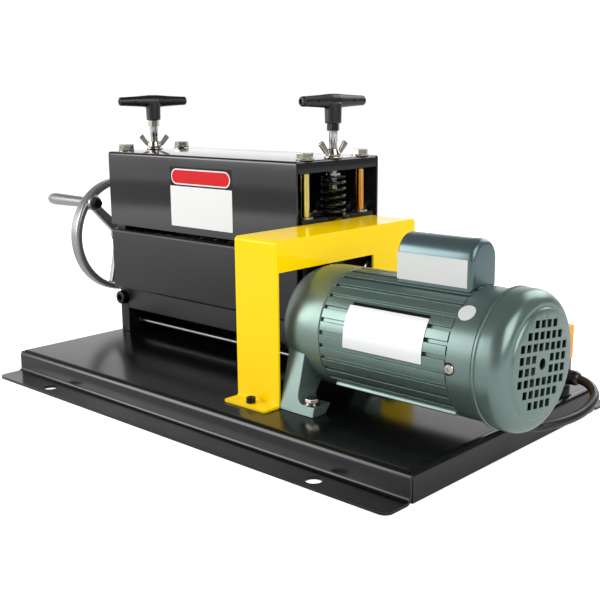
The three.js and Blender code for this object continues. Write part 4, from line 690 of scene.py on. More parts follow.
def addBearing(name, face, way):
    b = bearing
    bm = bmesh.new()
    back, deep = face - way * b["width"], face - way * b["sunk"]
    inside, outside = b["inner"] + b["ring"], b["outer"] - b["ring"]
    ring(bm, "x", feedAxis, back, face, outside, b["outer"], 64)
    ring(bm, "x", feedAxis, back, face, b["inner"], inside)
    ring(bm, "x", feedAxis, back, deep, inside - b["overlap"], outside + b["overlap"], 48, 1)
    addPiece(f"{name}_rings", bm, ["toolSteel", "blackRubber"], name, 0.35)


for name, (face, way) in bearing["faces"].items():
    addBearing(name, face, way)

# Pillars with their foot washers, and the bolts over the hood
pillar = {
    "low": 186.5, "stud": 4, "foot": 208.8, "footWasher": 2.4, "washerRadius": 9, "washerBore": 4.2, "radius": 4.8,
    "top": 259.6, "boltSeat": 274.7, "boltWasher": 2, "boltWasherRadius": 10.5, "flats": 17, "headHeight": 6.4,
    "spacing": 95.6,
}


def addPillar(name, x, y):
    p = pillar
    at, shoulder, head = (x, y, 0), p["foot"] + p["footWasher"], p["boltSeat"] + p["boltWasher"]
    rod = bmesh.new()
    turned(rod, "z", at, [(p["low"], 0), (p["low"], p["stud"]), (shoulder, p["stud"]), (shoulder, p["radius"]),
                          (p["top"], p["radius"]), (p["top"], p["stud"]), (p["boltSeat"], p["stud"]),
                          (p["boltSeat"], 0)], 32)
    addPiece(f"{name}_rod", rod, ["yellowChromate"], name, 0.3)
    washer = bmesh.new()
    ring(washer, "z", at, p["foot"], shoulder, p["washerBore"], p["washerRadius"], 40)
    addPiece(f"{name}_washer", washer, ["turnedSteel"], edge=0.3)
    bolt = bmesh.new()
    disc(bolt, "z", at, p["boltSeat"], head, p["boltWasherRadius"])
    hexHead(bolt, "z", at, p["flats"], head, head + p["headHeight"])
    addPiece(f"{name}_bolt", bolt, ["nickelPlate"], edge=0.35)


for side, x in screwX.items():
    for word, way in (("front", -1), ("rear", 1)):
        addPillar(f"pillar_{side}_{word}", x, headCentreY + way * pillar["spacing"] / 2)
print("head frame made")

# Feed shaft, roller, hand wheel and crank
feedShaft = {"left": -380.5, "right": 92, "radius": 12.5, "chamfer": 1.2, "centreHole": 3, "centreDepth": 4}
roller = {
    "left": -276.6, "right": 21.6, "radius": 23, "bore": 12.9, "chamfer": 0.8, "groove": 3, "half": 5, "flat": 1,
    "count": 11, "pitch": 27, "middle": -127.5,
}
stackX = [roller["middle"] + (i - (roller["count"] - 1) / 2) * roller["pitch"] for i in range(roller["count"])]


def addFeedShaft():
    s = feedShaft
    bm = bmesh.new()
    left, right, radius, chamfer = s["left"], s["right"], s["radius"], s["chamfer"]
    turned(bm, "x", feedAxis, [
        (left, 0), (left, radius - chamfer), (left + chamfer, radius), (right - chamfer, radius),
        (right, radius - chamfer), (right, s["centreHole"]), (right - s["centreDepth"], 0)], 64)
    addPiece("feed_shaft_bar", bm, ["turnedSteel"], "feed_shaft", 0.2, body="feed_drive")


def addFeedRoller():
    r = roller
    bm = bmesh.new()
    left, right, radius, bore, chamfer = r["left"], r["right"], r["radius"], r["bore"], r["chamfer"]
    profile = [(left, bore), (left, radius - chamfer), (left + chamfer, radius)]
    for x in stackX:
        profile += [(x - r["half"], radius), (x - r["flat"], radius - r["groove"]),
                    (x + r["flat"], radius - r["groove"]), (x + r["half"], radius)]
    profile += [(right - chamfer, radius), (right, radius - chamfer), (right, bore)]
    turned(bm, "x", feedAxis, profile, 72, 0, True)
    addPiece("feed_roller_body", bm, ["blackOxide"], "feed_roller", 0.25, body="feed_drive")


wheel = {
    "far": -385, "near": -367, "radius": 81.3, "inner": 72.3, "round": 3.2, "innerRound": 1.2, "hubRadius": 15.5,
    "hubFar": -380.5, "hubNear": -352, "spokeWidth": 15, "spokeTip": 11, "spokeThickness": 9, "spokes": 3,
    "crankAngle": 135.6, "crankRadius": 70, "bossRadius": 10.5, "bossNear": -363, "bore": 12.8, "pinBore": 4.4,
    "boreFrom": -395, "boreTo": -345,
}
crankAt = (0, headCentreY + wheel["crankRadius"] * math.cos(math.radians(wheel["crankAngle"])),
           feedAxis[2] + wheel["crankRadius"] * math.sin(math.radians(wheel["crankAngle"])))


def addHandWheel():
    w = wheel
    bm = bmesh.new()
    far, near, outer, inner, r, s = w["far"], w["near"], w["radius"], w["inner"], w["round"], w["innerRound"]
    turned(bm, "x", feedAxis, [
        (far + s, inner), (far, inner + s), (far, outer - r), (far + r * 0.3, outer - r * 0.3), (far + r, outer),
        (near - r, outer), (near - r * 0.3, outer - r * 0.3), (near, outer - r), (near, inner + s),
        (near - s, inner)], 144, 0, True)
    disc(bm, "x", feedAxis, w["hubFar"], w["hubNear"], w["hubRadius"], 64)
    middle, half = (far + near) / 2, w["spokeThickness"] / 2
    root, tip = w["spokeWidth"] / 2, w["spokeTip"] / 2
    for i in range(w["spokes"]):
        spoke = pushed(bm, "x", [(-root, 0), (root, 0), (tip, inner + 2), (-tip, inner + 2)], middle - half,
                       middle + half)
        moved(bm, spoke, math.radians(w["crankAngle"] + i * 360 / w["spokes"] - 90), "X", feedAxis)
    disc(bm, "x", crankAt, far, w["bossNear"], w["bossRadius"], 40)
    skin = fused(bm, 0.9, 6)
    bores = bmesh.new()
    disc(bores, "x", feedAxis, w["boreFrom"], w["boreTo"], w["bore"], 64)
    disc(bores, "x", crankAt, w["boreFrom"], w["boreTo"], w["pinBore"], 32)
    addPiece("hand_wheel_casting", combined(skin, bores), ["greyCasting"], "hand_wheel", 0, limit=50,
             body="feed_drive")


wheelNut = {"washer": (-382.8, -380.8, 9), "flats": 15, "end": -389.8}
crank = {
    "pin": (-469.8, -362.7, 4), "flats": 13, "head": -357.4,
    "grip": [(-475.3, 0), (-475.3, 4.4), (-474.9, 5.6), (-473.6, 6.6), (-471, 7.6), (-464.5, 8.6), (-452, 8.5),
             (-430, 8.1), (-410, 7.7), (-396.1, 7.4), (-386.2, 7.4), (-385.3, 6.8), (-385.3, 4.5), (-470.1, 4.5),
             (-470.1, 0)],
}


def addWheelNut():
    bm = bmesh.new()
    disc(bm, "x", feedAxis, *wheelNut["washer"])
    hexHead(bm, "x", feedAxis, wheelNut["flats"], wheelNut["washer"][0], wheelNut["end"])
    addPiece("wheel_nut_hexagon", bm, ["brightZinc"], "wheel_nut", 0.4, body="feed_drive")


def addCrank():
    pin = bmesh.new()
    disc(pin, "x", crankAt, *crank["pin"], 32)
    hexHead(pin, "x", crankAt, crank["flats"], crank["pin"][1], crank["head"])
    addPiece("crank_pin_bolt", pin, ["blackOxide"], "crank_pin", 0.25, body="feed_drive")
    grip = bmesh.new()
    turned(grip, "x", crankAt, crank["grip"])
    addPiece("crank_grip_sleeve", grip, ["greyCasting"], "crank_grip", 0.2, body="crank_handle")


addFeedShaft()
addFeedRoller()
addHandWheel()
addWheelNut()
addCrank()
print("feed drive made")

# Blade shaft, slitting discs with bevelled edges, spacers between them
blade = {
    "radius": 19, "half": 1.5, "edgeHalf": 0.12, "bevelIn": 2.2, "spacer": 13, "bore": 9.4, "left": -278, "right": 23,
    "shaft": [(-298.3, 0), (-298.3, 8), (-297.3, 9), (42.3, 9), (43.3, 8), (43.3, 0)],
    "bush": (9.5, 12.5), "bushBack": 8.4, "bushFace": 11.85,
}


def addBlades():
    b = blade
    bar = bmesh.new()
    turned(bar, "x", bladeAxis, b["shaft"])
    addPiece("blade_shaft_bar", bar, ["turnedSteel"], "blade_shaft", 0.15, body="blade_arbor")
    bm = bmesh.new()
    starts = [b["left"]] + [x + b["half"] for x in stackX]
    ends = [x - b["half"] for x in stackX] + [b["right"]]
    for start, end in zip(starts, ends):
        ring(bm, "x", bladeAxis, start, end, b["bore"], b["spacer"], 40, 1)
    rim = b["radius"] - b["bevelIn"]
    for x in stackX:
        turned(bm, "x", bladeAxis, [
            (x - b["half"], b["bore"]), (x - b["half"], rim), (x - b["edgeHalf"], b["radius"]),
            (x + b["edgeHalf"], b["radius"]), (x + b["half"], rim), (x + b["half"], b["bore"])], 96, 0, True)
    addPiece("blade_stack_discs", bm, ["toolSteel", "blackOxide"], "blade_stack", 0.1, body="blade_arbor")


addBlades()
for side, way in (("left", 1), ("right", -1)):
    bush = bmesh.new()
    ring(bush, "x", bladeAxis, screwX[side] - way * blade["bushBack"], screwX[side] + way * blade["bushFace"],
         *blade["bush"], 48, 1)
    refined(f"blade_block_{side}", ["blackOxide", "sinteredBronze"], 0.6, "blade_carriage", bush)

# Pressure springs: each is drawn in two lengths that meet, the lower one follows the blades
spring = {
    "outer": 15, "wire": 1.8, "low": 208.6, "top": 252.2, "closedPitch": 4.15, "openPitch": 8.4, "stepsPerTurn": 28,
    "sides": 12, "liftTravel": 10,
}


def springLine(x):
    s = spring
    mean = s["outer"] - s["wire"]
    low = s["low"] + s["wire"]
    rise = s["top"] - s["wire"] - low
    openTurns = (rise - 2 * s["closedPitch"]) / s["openPitch"]
    turns = openTurns + 2
    count = round(turns * s["stepsPerTurn"])
    points = []
    for i in range(count + 1):
        turn = turns * i / count
        height = (min(turn, 1) * s["closedPitch"] + min(max(turn - 1, 0), openTurns) * s["openPitch"]
                  + max(turn - 1 - openTurns, 0) * s["closedPitch"])
        points.append(Vector((x + mean * math.cos(turn * math.tau), headCentreY + mean * math.sin(turn * math.tau),
                              low + height)))
    return points


# A round wire along points: a disc is extruded from point to point
def wireAlong(points, radius, sides):
    bm = bmesh.new()
    corners = bmesh.ops.create_circle(bm, cap_ends=True, radius=radius, segments=sides)["verts"]
    face = bm.faces[:][0]
    across = Vector((0, 0, 1))
    for i, point in enumerate(points):
        heading = (points[min(i + 1, len(points) - 1)] - points[max(i - 1, 0)]).normalized()
        across = (across - heading * across.dot(heading)).normalized()
        third = heading.cross(across)
        if i:
            face = bmesh.ops.extrude_discrete_faces(bm, faces=[face])["faces"][0]
            corners = list(face.verts)
        for k, vert in enumerate(corners):
            angle = math.tau * k / sides
            vert.co = point + across * (radius * math.cos(angle)) + third * (radius * math.sin(angle))
    bmesh.ops.remove_doubles(bm, verts=bm.verts[:], dist=1e-5)
    bmesh.ops.recalc_face_normals(bm, faces=bm.faces[:])
    return bm


def addSpring(side, x):
    s = spring
    points = springLine(x)
    middle = (s["low"] + s["top"]) / 2
    split = min(range(len(points)), key=lambda i: abs(points[i].z - middle))
    lower = addPiece(f"spring_{side}_lower", wireAlong(points[:split + 1], s["wire"], s["sides"]), ["springSteel"],
                     f"spring_{side}", 0.1, body="blade_carriage")
    upper = addPiece(f"spring_{side}_upper", wireAlong(points[split:], s["wire"], s["sides"]), ["springSteel"],
                     edge=0.1, body=None)
    anchor, joint, top = (toFrame @ Vector((x, headCentreY, z)) for z in (s["low"], points[split].z, s["top"]))
    tuple(anchor)
    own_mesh(lower)
    tuple(joint)
    tuple(top)
    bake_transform(upper)


# Pressure screw: turned collar, rolled thread, hexagon, then the handle's spigot
screw = {
    "tip": 236, "radius": 5, "core": 4.45, "pitch": 1.5, "threadTop": 292, "collarLow": 254.8, "collarHigh": 257.6,
    "collarRadius": 8.5, "hexLow": 305.5, "hexHigh": 313.1, "hexFlats": 13, "spigotTop": 330.1, "spigotRadius": 3.5,
    "nut": {"left": "nickelPlate", "right": "blackOxide"}, "washer": (252.5, 254.5, 5.4, 14),
}


# Helical ridge: one turn's profile swept upwards round the core
def addThread(bm, centre, low, high, core, crest, pitch, steps=20):
    old = set(bm.faces)
    centre = Vector(centre)
    count = int((high - low) / pitch)
    profile = [(0, core - 0.1), (0.2 * pitch, core), (0.45 * pitch, crest), (0.6 * pitch, crest), (0.85 * pitch, core),
               (pitch, core - 0.1)]
    verts = [bm.verts.new(centre + axes["x"] * r + axes["z"] * (low + a)) for a, r in profile]
    edges = [bm.edges.new(pair) for pair in zip(verts, verts[1:])]
    bmesh.ops.spin(bm, geom=verts + edges, cent=centre, axis=(0, 0, 1), dvec=(0, 0, pitch / steps),
                   angle=math.tau * count, steps=steps * count)
    closeUp(bm, old, 0)


def addScrew(side, x):
    s = screw
    at = (x, headCentreY, 0)
    tip, core, collar = s["tip"], s["core"], s["collarRadius"]
    low, high, thread, hexLow = s["collarLow"], s["collarHigh"], s["threadTop"], s["hexLow"]
    bm = bmesh.new()
    turned(bm, "z", at, [
        (tip, 0), (tip, core - 0.8), (tip + 1, core), (low, core), (low, collar), (high, collar), (high, core),
        (thread, core), (thread + 1, s["radius"]), (hexLow, s["radius"]), (hexLow, 0)], 40)
    hexHead(bm, "z", at, s["hexFlats"], hexLow, s["hexHigh"], 1)
    disc(bm, "z", at, s["hexHigh"] - 1, s["spigotTop"], s["spigotRadius"], 24)
    for start, end in ((tip + 1, low - 1), (high, thread - 1)):
        addThread(bm, at, start, end, core, s["radius"], s["pitch"])
    addPiece(f"pressure_screw_{side}_thread", bm, ["brightZinc", s["nut"][side]], f"pressure_screw_{side}", 0,
             limit=40, body=f"screw_{side}")
    washer = bmesh.new()
    ring(washer, "z", at, *s["washer"])
    addPiece(f"pressure_washer_{side}_ring", washer, ["blackOxide"], f"pressure_washer_{side}", 0.35,
             body=f"washer_{side}")


# T-handle: moulded bar that swells to its middle, with a dimple in each end and two pin holes
tee = {
    "half": 47.5, "endRadius": 5.7, "middleRadius": 8.2, "axisZ": 338.7, "hubLow": 313.4, "hubRadius": 9.4,
    "dimple": 3.1, "dimpleDepth": 2, "pinHole": 1.2, "pinAt": 27, "pinCut": (-12, -5), "bore": (310, 330.4, 3.9),
    "swell": ((0.8, 0.12), (0.45, 0.5), (0.12, 1)), "angle": {"left": 71, "right": 83},
}


def addTee(side, x):
    t = tee
    bm = bmesh.new()
    half, end, mid = t["half"], t["endRadius"], t["middleRadius"]
    rising = [(half, 0), (half, end - 1.3), (half - 1.3, end)] + [
        (half * far, end + (mid - end) * share) for far, share in t["swell"]]
    turned(bm, "x", (0, 0, 0), [(-along, radius) for along, radius in rising] + rising[::-1], 40)
    below, low, hub, top = (0, 0, -t["axisZ"]), t["hubLow"], t["hubRadius"], t["axisZ"] - 2
    turned(bm, "z", below, [(low, 0), (low, hub - 0.8), (low + 0.8, hub), (top, hub + 0.6), (top, 0)], 40)
    handle = fused(bm, 0.62, 7)
    holes = bmesh.new()
    for way in (-1, 1):
        disc(holes, "x", (0, 0, 0), *sorted((way * (half - t["dimpleDepth"]), way * (half + 3))), t["dimple"], 24)
        disc(holes, "y", (way * t["pinAt"], 0, 0), *t["pinCut"], t["pinHole"], 16)
    disc(holes, "z", below, *t["bore"], 24)
    handle = combined(handle, holes)
    moved(handle, handle.verts[:], math.radians(t["angle"][side]), "Z", (x, headCentreY, t["axisZ"]))
    addPiece(f"tee_handle_{side}_moulding", handle, ["blackAbs"], f"tee_handle_{side}", 0, limit=50,
             body=f"screw_{side}")


# Wing nut: pressed nickel-plated nut with rounded ears, on a plain washer
wing = {
    "seat": 274.7, "washer": 1.8, "washerRadius": 11, "bodyRadius": 8.6, "topRadius": 6.6, "height": 10.5,
    "thickness": 3, "bore": 5.5, "boreCut": (270, 300), "angle": {"left": 43, "right": 78},
    "ear": [(4, 3.2), (8.8, 3.6), (12.2, 5.4), (20, 14.6), (20.2, 15.8), (19.6, 16.8), (16.4, 19.3), (15.2, 19.5),
            (14.2, 18.8), (9.4, 11.2), (7.6, 9.6), (4, 8.8)],
}


def addWing(side, x):
    w = wing
    bm = bmesh.new()
    seat, face, bore, rim = w["seat"], w["seat"] + w["washer"], w["bore"], w["washerRadius"]
    top, low = seat + w["height"], face + 0.2
    turned(bm, "z", (0, 0, 0), [(low, 0), (low, w["bodyRadius"]), (low + 2.5, w["bodyRadius"]), (top, w["topRadius"]),
                                (top, 0)], 40)
    for way in (-1, 1):
        pushed(bm, "y", [(way * u, seat + v) for u, v in w["ear"]], -w["thickness"] / 2, w["thickness"] / 2)
    nut = fused(bm, 0.42, 5)
    hole = bmesh.new()
    disc(hole, "z", (0, 0, 0), *w["boreCut"], bore, 32)
    nut = combined(nut, hole)
    turned(nut, "z", (0, 0, 0), [(seat, bore), (seat, rim - 0.3), (seat + 0.3, rim), (face - 0.3, rim),
                                 (face, rim - 0.3), (face, bore)], 48, 0, True)
    moved(nut, nut.verts[:], math.radians(w["angle"][side]), "Z", (x, headCentreY, 0))
    addPiece(f"wing_nut_{side}_plated", nut, ["nickelPlate"], f"wing_nut_{side}", 0, limit=50, body=f"wing_{side}")


for side, x in screwX.items():
    for add in (addSpring, addScrew, addTee, addWing):
        add(side, x)
print("pressure screws made")

# Roller chain on two sprockets
chain = {
    "pitch": 9.525, "roller": 3.1, "pin": 1.6, "middleX": 77, "inner": 2.9, "plate": 1.1, "plateHalf": 3.9,
    "waist": 2.9, "feedTeeth": 24, "motorTeeth": 12, "tip": 1.9, "thickness": 5, "hubLeft": 64.5, "hubRadius": 21,
    "keyRadius": 17, "keyHole": 2.6, "bore": 12.6, "shaftRight": 116,
}
pitchRadius = {n: chain["pitch"] / 2 / math.sin(math.pi / n) for n in (chain["feedTeeth"], chain["motorTeeth"])}


def onCircle(centre, radius, angle):
    return centre + Vector((math.cos(angle), math.sin(angle))) * radius


# Link joints along the closed loop: round the large sprocket, lower run, round the small one, upper run
def chainRoute():
    big, small = Vector(feedAxis[1:]), Vector(motorAxis[1:])
    bigRadius, smallRadius = pitchRadius[chain["feedTeeth"]], pitchRadius[chain["motorTeeth"]]
    apart = small - big
    line = math.atan2(apart.y, apart.x)
    spread = math.acos((bigRadius - smallRadius) / apart.length)
    bigStep, smallStep = math.tau / chain["feedTeeth"], math.tau / chain["motorTeeth"]
    bigStart, smallStart = line + spread, line - spread
    bigCount, smallCount = math.ceil((math.tau - 2 * spread) / bigStep) + 1, math.ceil(2 * spread / smallStep) + 1
    route = [onCircle(big, bigRadius, bigStart + i * bigStep) for i in range(bigCount)]
    bigEnd, smallFirst = route[-1], onCircle(small, smallRadius, smallStart)
    lowerRun = round((smallFirst - bigEnd).length / chain["pitch"])
    route += [bigEnd.lerp(smallFirst, i / lowerRun) for i in range(1, lowerRun)]
    route += [onCircle(small, smallRadius, smallStart + i * smallStep) for i in range(smallCount)]
    smallEnd = route[-1]
    exact = (route[0] - smallEnd).length / chain["pitch"]
    upperRun = round(exact)
    if (len(route) + upperRun - 1) % 2 == 1:
        upperRun += 1 if exact > upperRun else -1
    route += [smallEnd.lerp(route[0], i / upperRun) for i in range(1, upperRun)]
    return route, bigStart, smallStart


def addChain(route):
    c = chain
    bm = bmesh.new()
    middle, half, reach = c["middleX"], c["plateHalf"], c["inner"] + 2 * c["plate"]
    for i, spot in enumerate(route):
        along = route[(i + 1) % len(route)] - spot
        length = along.length
        along.normalize()
        across = Vector((-along.y, along.x))
        gap = c["inner"] + (c["plate"] if i % 2 else 0)
        outline = (arc((length, 0), (half, half), -90, 90, 6) + [(length / 2, c["waist"])]
                   + arc((0, 0), (half, half), 90, 270, 6) + [(length / 2, -c["waist"])])
        placed = [tuple(spot + along * u + across * v) for u, v in outline]
        for way in (-1, 1):
            start = middle + way * gap
            pushed(bm, "x", placed, start, start + way * (c["plate"] - 0.06), i % 2)
        centre = (0, spot.x, spot.y)
        ring(bm, "x", centre, middle - c["inner"], middle + c["inner"], c["pin"], c["roller"], 14, 1)
        disc(bm, "x", centre, middle - reach, middle + reach, c["pin"], 10, 1)
    # Both chain finishes are dark: oiled steel, and painted shade where the chain sits under the guard
    addPiece("drive_chain_links", bm, ["blackOxide", "springSteel"], "drive_chain", 0, limit=40)


# Five points round each gullet, then four over the tooth's tip
def sprocketOutline(teeth, phase, centre):
    middle, radius, gullet = Vector(centre[1:]), pitchRadius[teeth], chain["roller"] * 1.1
    outline = []
    for i in range(teeth):
        angle = phase + i * math.tau / teeth
        seat = onCircle(middle, radius, angle)
        outline += [onCircle(seat, gullet, angle + math.pi - share * math.pi) for share in (-0.36, -0.2, 0, 0.2, 0.36)]
        outline += [onCircle(middle, radius + chain["tip"] * lift, angle + share * math.tau / teeth)
                    for share, lift in ((0.42, 0.75), (0.47, 1.0), (0.53, 1.0), (0.58, 0.75))]
    return outline


def addSprockets(bigStart, smallStart):
    c = chain
    left, right, hubLeft = c["middleX"] - c["thickness"] / 2, c["middleX"] + c["thickness"] / 2, c["hubLeft"]
    bm = bmesh.new()
    pushed(bm, "x", sprocketOutline(c["feedTeeth"], bigStart, feedAxis), left, right)
    ring(bm, "x", feedAxis, hubLeft, left, c["bore"], c["hubRadius"])
    for angle in (math.radians(30), math.radians(210)):
        spot = onCircle(Vector(feedAxis[1:]), c["keyRadius"], angle)
        disc(bm, "x", (0, *spot), right - 0.5, right + 0.8, c["keyHole"], 20)
    addPiece("feed_sprocket_toothed", bm, ["blackOxide"], "feed_sprocket", 0.3, body="feed_drive")
    bm = bmesh.new()
    pushed(bm, "x", sprocketOutline(c["motorTeeth"], smallStart, motorAxis), left, right)
    disc(bm, "x", motorAxis, hubLeft, left, pitchRadius[c["motorTeeth"]] - c["plateHalf"] - 0.3, 40)
    turned(bm, "x", motorAxis, [(64, 0), (64, 9.2), (64.8, 10), (c["shaftRight"], 10), (c["shaftRight"], 0)], 40, 1)
    addPiece("output_shaft_sprocket", bm, ["blackOxide", "turnedSteel"], "output_shaft", 0.3, body="gearbox_output")


route, *starts = chainRoute()
addChain(route)
addSprockets(*starts)
print("chain drive made")

# Gear housing: cast bell with two legs that run into its feet
gearBox = {
    "front": 90.2, "end": 149.7, "faceRadius": 47, "radius": 62.8, "shoulder": 35, "bore": 10.4, "legFrom": 105.5,
    "legTo": 127.8, "footRight": 151.8, "footTop": 39.8, "seat": 29.8, "legTop": 96, "outer": (74.2, 57.5),
    "inner": (54.6, 4), "fillet": 9,
    "nose": ((0, 24), (1.6, 25.5), (1.6, 38), (0, 39.5)),
}


def addGearHousing():
    g = gearBox
    bm = bmesh.new()
    front, face, seat, top, fillet = g["front"], g["faceRadius"], g["seat"], g["legTop"], g["fillet"]
    profile = [(front, g["bore"]), *((front + a, r) for a, r in g["nose"]), (front, face - 1.5)]
    profile += arc((front + g["shoulder"], face), (g["shoulder"], g["radius"] - face), 180, 90, 12)
    profile += [(g["end"] - 1, g["radius"]), (g["end"], g["radius"] - 1), (g["end"], g["bore"])]
    turned(bm, "x", motorAxis, profile, 128, 0, True)
    outline = [(g["legFrom"], seat), (g["footRight"], seat), (g["footRight"], g["footTop"])]
    outline += arc((g["legTo"] + fillet, g["footTop"] + fillet), (fillet, fillet), -90, -180, 6)
    outline += [(g["legTo"], top), (g["legFrom"], top)]
    for side in (-1, 1):
        for vert in pushed(bm, "y", outline, 0, 1):
            share = (vert.co.z - seat) / (top - seat)
            inner, outer = (wide + (narrow - wide) * share for wide, narrow in (g["inner"], g["outer"]))
            vert.co.y = motorAxis[1] + side * (inner + (outer - inner) * vert.co.y)
    bmesh.ops.recalc_face_normals(bm, faces=bm.faces[:])
    addPiece("gear_housing_casting", bm, ["greyGreenCasting"], "gear_housing", 1.1, 3)


footBolt = {
    "x": 142.6, "y": 64.6, "flats": 13, "top": 47, "low": 20.9, "nutTop": 26.2,
    "discs": ((40.1, 41.7, 8.5, 40), (41.7, 43.4, 6.9, 40), (20.9, 40.1, 4, 24)),
}


def addFootBolt(name, way):
    f = footBolt
    bm = bmesh.new()
    at = (f["x"], motorAxis[1] + way * f["y"], 0)
    for start, end, radius, steps in f["discs"]:
        disc(bm, "z", at, start, end, radius, steps)
    hexHead(bm, "z", at, f["flats"], f["discs"][1][1], f["top"])
    hexHead(bm, "z", at, f["flats"], f["nutTop"], f["low"])
    addPiece(f"{name}_zinc", bm, ["nickelPlate"], name, 0.25)


addGearHousing()
addFootBolt("foot_bolt_front", -1)
addFootBolt("foot_bolt_rear", 1)

# Motor body: extruded tube with thirty lands and narrow grooves
motor = {
    "start": 150.3, "end": 300.2, "radius": 62.8, "groove": 3.4, "count": 30, "share": 0.3, "first": 0.63,
    "railAngle": 143.7, "railFrom": 153, "railTo": 298, "rail": [(-2.2, -3), (2.2, -3), (1.6, 2.6), (-1.6, 2.6)],
}


def addMotorBody():
    m = motor
    bm = bmesh.new()
    step, middle = math.tau / m["count"], Vector(motorAxis[1:])
    land, groove = step * (1 - m["share"]), step * m["share"]
    outline = []
    for i in range(m["count"]):
        start = (i + m["first"]) * step
        outline += [onCircle(middle, m["radius"], start + land * k / 4) for k in range(5)]
        outline += [onCircle(middle, m["radius"] - m["groove"], start + land + groove * k / 2) for k in range(3)]
    pushed(bm, "x", outline, m["start"], m["end"])
    rail = pushed(bm, "x", [(u, m["radius"] + v) for u, v in m["rail"]], m["railFrom"], m["railTo"])
    moved(bm, rail, math.radians(m["railAngle"]), "X", motorAxis)
    addPiece("motor_body_finned", bm, ["greyGreenEnamel"], "motor_body", 0.35)


# Blank nameplate rolled to the fins, with a dark header band
nameplate = {
    "left": 181.5, "right": 275, "top": 51, "bottom": 93, "header": 3, "headerIn": 3, "radius": 63.25,
    "thickness": 0.45,
}


# The angles are degrees from the top towards the front
def rolledPlate(left, right, top, bottom, steps=28):
    bm = bmesh.new()
    y, z = onCircle(Vector(motorAxis[1:]), nameplate["radius"], math.radians(top + 90))
    ends = [bm.verts.new((x, y, z)) for x in (left, right)]
    bmesh.ops.spin(bm, geom=[*ends, bm.edges.new(ends)], cent=motorAxis, axis=(1, 0, 0),
                   angle=math.radians(bottom - top), steps=steps)
    return worked(bm, ("SOLIDIFY", {"thickness": nameplate["thickness"], "offset": 0.0}))


def addNameplate():
    n = nameplate
    split = n["top"] + n["header"]
    plate = rolledPlate(n["left"], n["right"], split, n["bottom"])
    addPiece("motor_nameplate_blank", plate, ["brushedAluminium"], edge=0.1)
    band = rolledPlate(n["left"] + n["headerIn"], n["right"], n["top"], split - 0.1, 6)
    addPiece("motor_nameplate_header", band, ["blackVinyl"], edge=0.1)


# End shield with its screws and the blank badge, whose places are degrees from the top towards the front
shield = {
    "from": 300.5, "rimTo": 328.3, "spigotTo": 334.8, "radius": 63.1, "rimLift": 0.7, "spigot": 62, "bore": 7.4,
    "badgeX": 309.4, "badgeAngle": 42.5, "badgeRadius": 8.4, "badgeLevels": (-0.3, 0.4),
    "screws": ({"x": 305, "angle": 92, "well": 6.4, "wellDepth": 4, "seat": 3.2, "radius": 5.2},
               {"x": 308, "angle": -4, "well": 4.6, "wellDepth": 3.5, "seat": 3.4, "radius": 4.1}),
}


def onShield(bm, x, angleFromTop, profile, steps=32):
    moved(bm, turned(bm, "z", (0, 0, 0), profile, steps), math.radians(angleFromTop), "X", (x, *motorAxis[1:]))


def addEndShield():
    s = shield
    radius, rim, raised = s["radius"], s["rimTo"], s["radius"] + s["rimLift"]
    bm = bmesh.new()
    turned(bm, "x", motorAxis, [
        (s["from"], s["bore"]), (s["from"], radius - 1.2), (s["from"] + 1.2, radius), (rim - 3.4, radius),
        (rim - 3, raised), (rim - 0.7, raised), (rim, radius), (rim, s["spigot"]), (s["spigotTo"], s["spigot"]),
        (s["spigotTo"], s["bore"])], 128, 0, True)
    wells, screws, badge = bmesh.new(), bmesh.new(), bmesh.new()
    for c in s["screws"]:
        floor, low, wide = radius - c["wellDepth"], radius - c["seat"], c["radius"]
        onShield(wells, c["x"], c["angle"], [(floor, 0), (floor, c["well"]), (radius + 4, c["well"]), (radius + 4, 0)])
        onShield(screws, c["x"], c["angle"], [(low, 0), (low, wide), (low + 1.8, wide), (low + 3.2, wide - 1),
                                              (low + 3.6, 1.8), (low + 2.6, 1.4), (low + 2.6, 0)])
    addPiece("end_shield_casting", combined(bm, wells), ["greyGreenEnamel"], "end_shield", 0.35)
    addPiece("end_shield_screws", screws, ["nickelPlate"], edge=0)
    low, high = radius - 0.6, radius + 0.45
    onShield(badge, s["badgeX"], s["badgeAngle"], [(low, 0), (low, s["badgeRadius"]), (high, s["badgeRadius"]),
                                                   (high, 0)], 48)
    middle = Vector((0, *motorAxis[1:]))
    for vert in badge.verts:  # the flat disc is laid on the shield's round
        spot = Vector((0, *vert.co.yz)) - middle
        spot = spot.normalized() * (radius + s["badgeLevels"][spot.length >= radius + 0.05])
        vert.co.yz = (middle + spot).yz
    addPiece("end_shield_badge_blank", badge, ["brushedAluminium"], edge=0.1)


# Fan cover: drawn shell with a rolled bead, a round shoulder, a stepped face and rows of square vents
fanCover = {
    "start": 329.9, "face": 362.3, "radius": 66.9, "wall": 1.2, "shoulder": 15, "faceRadius": 49.5, "stepRadius": 53,
    "stepDepth": 2.2, "bead": ((0, -0.6), (0.6, 0), (2.6, 0), (3.2, -1.1), (4.2, -1.1), (4.8, -0.5)), "pitch": 10.5,
    "vent": 7.2, "centreHole": 5.4, "ventTurn": -6.8,
    "rows": ((3.5, 4), (2.5, 6), (1.5, 8), (0.5, 8), (-0.5, 8), (-1.5, 8), (-2.5, 6), (-3.5, 4)),
}


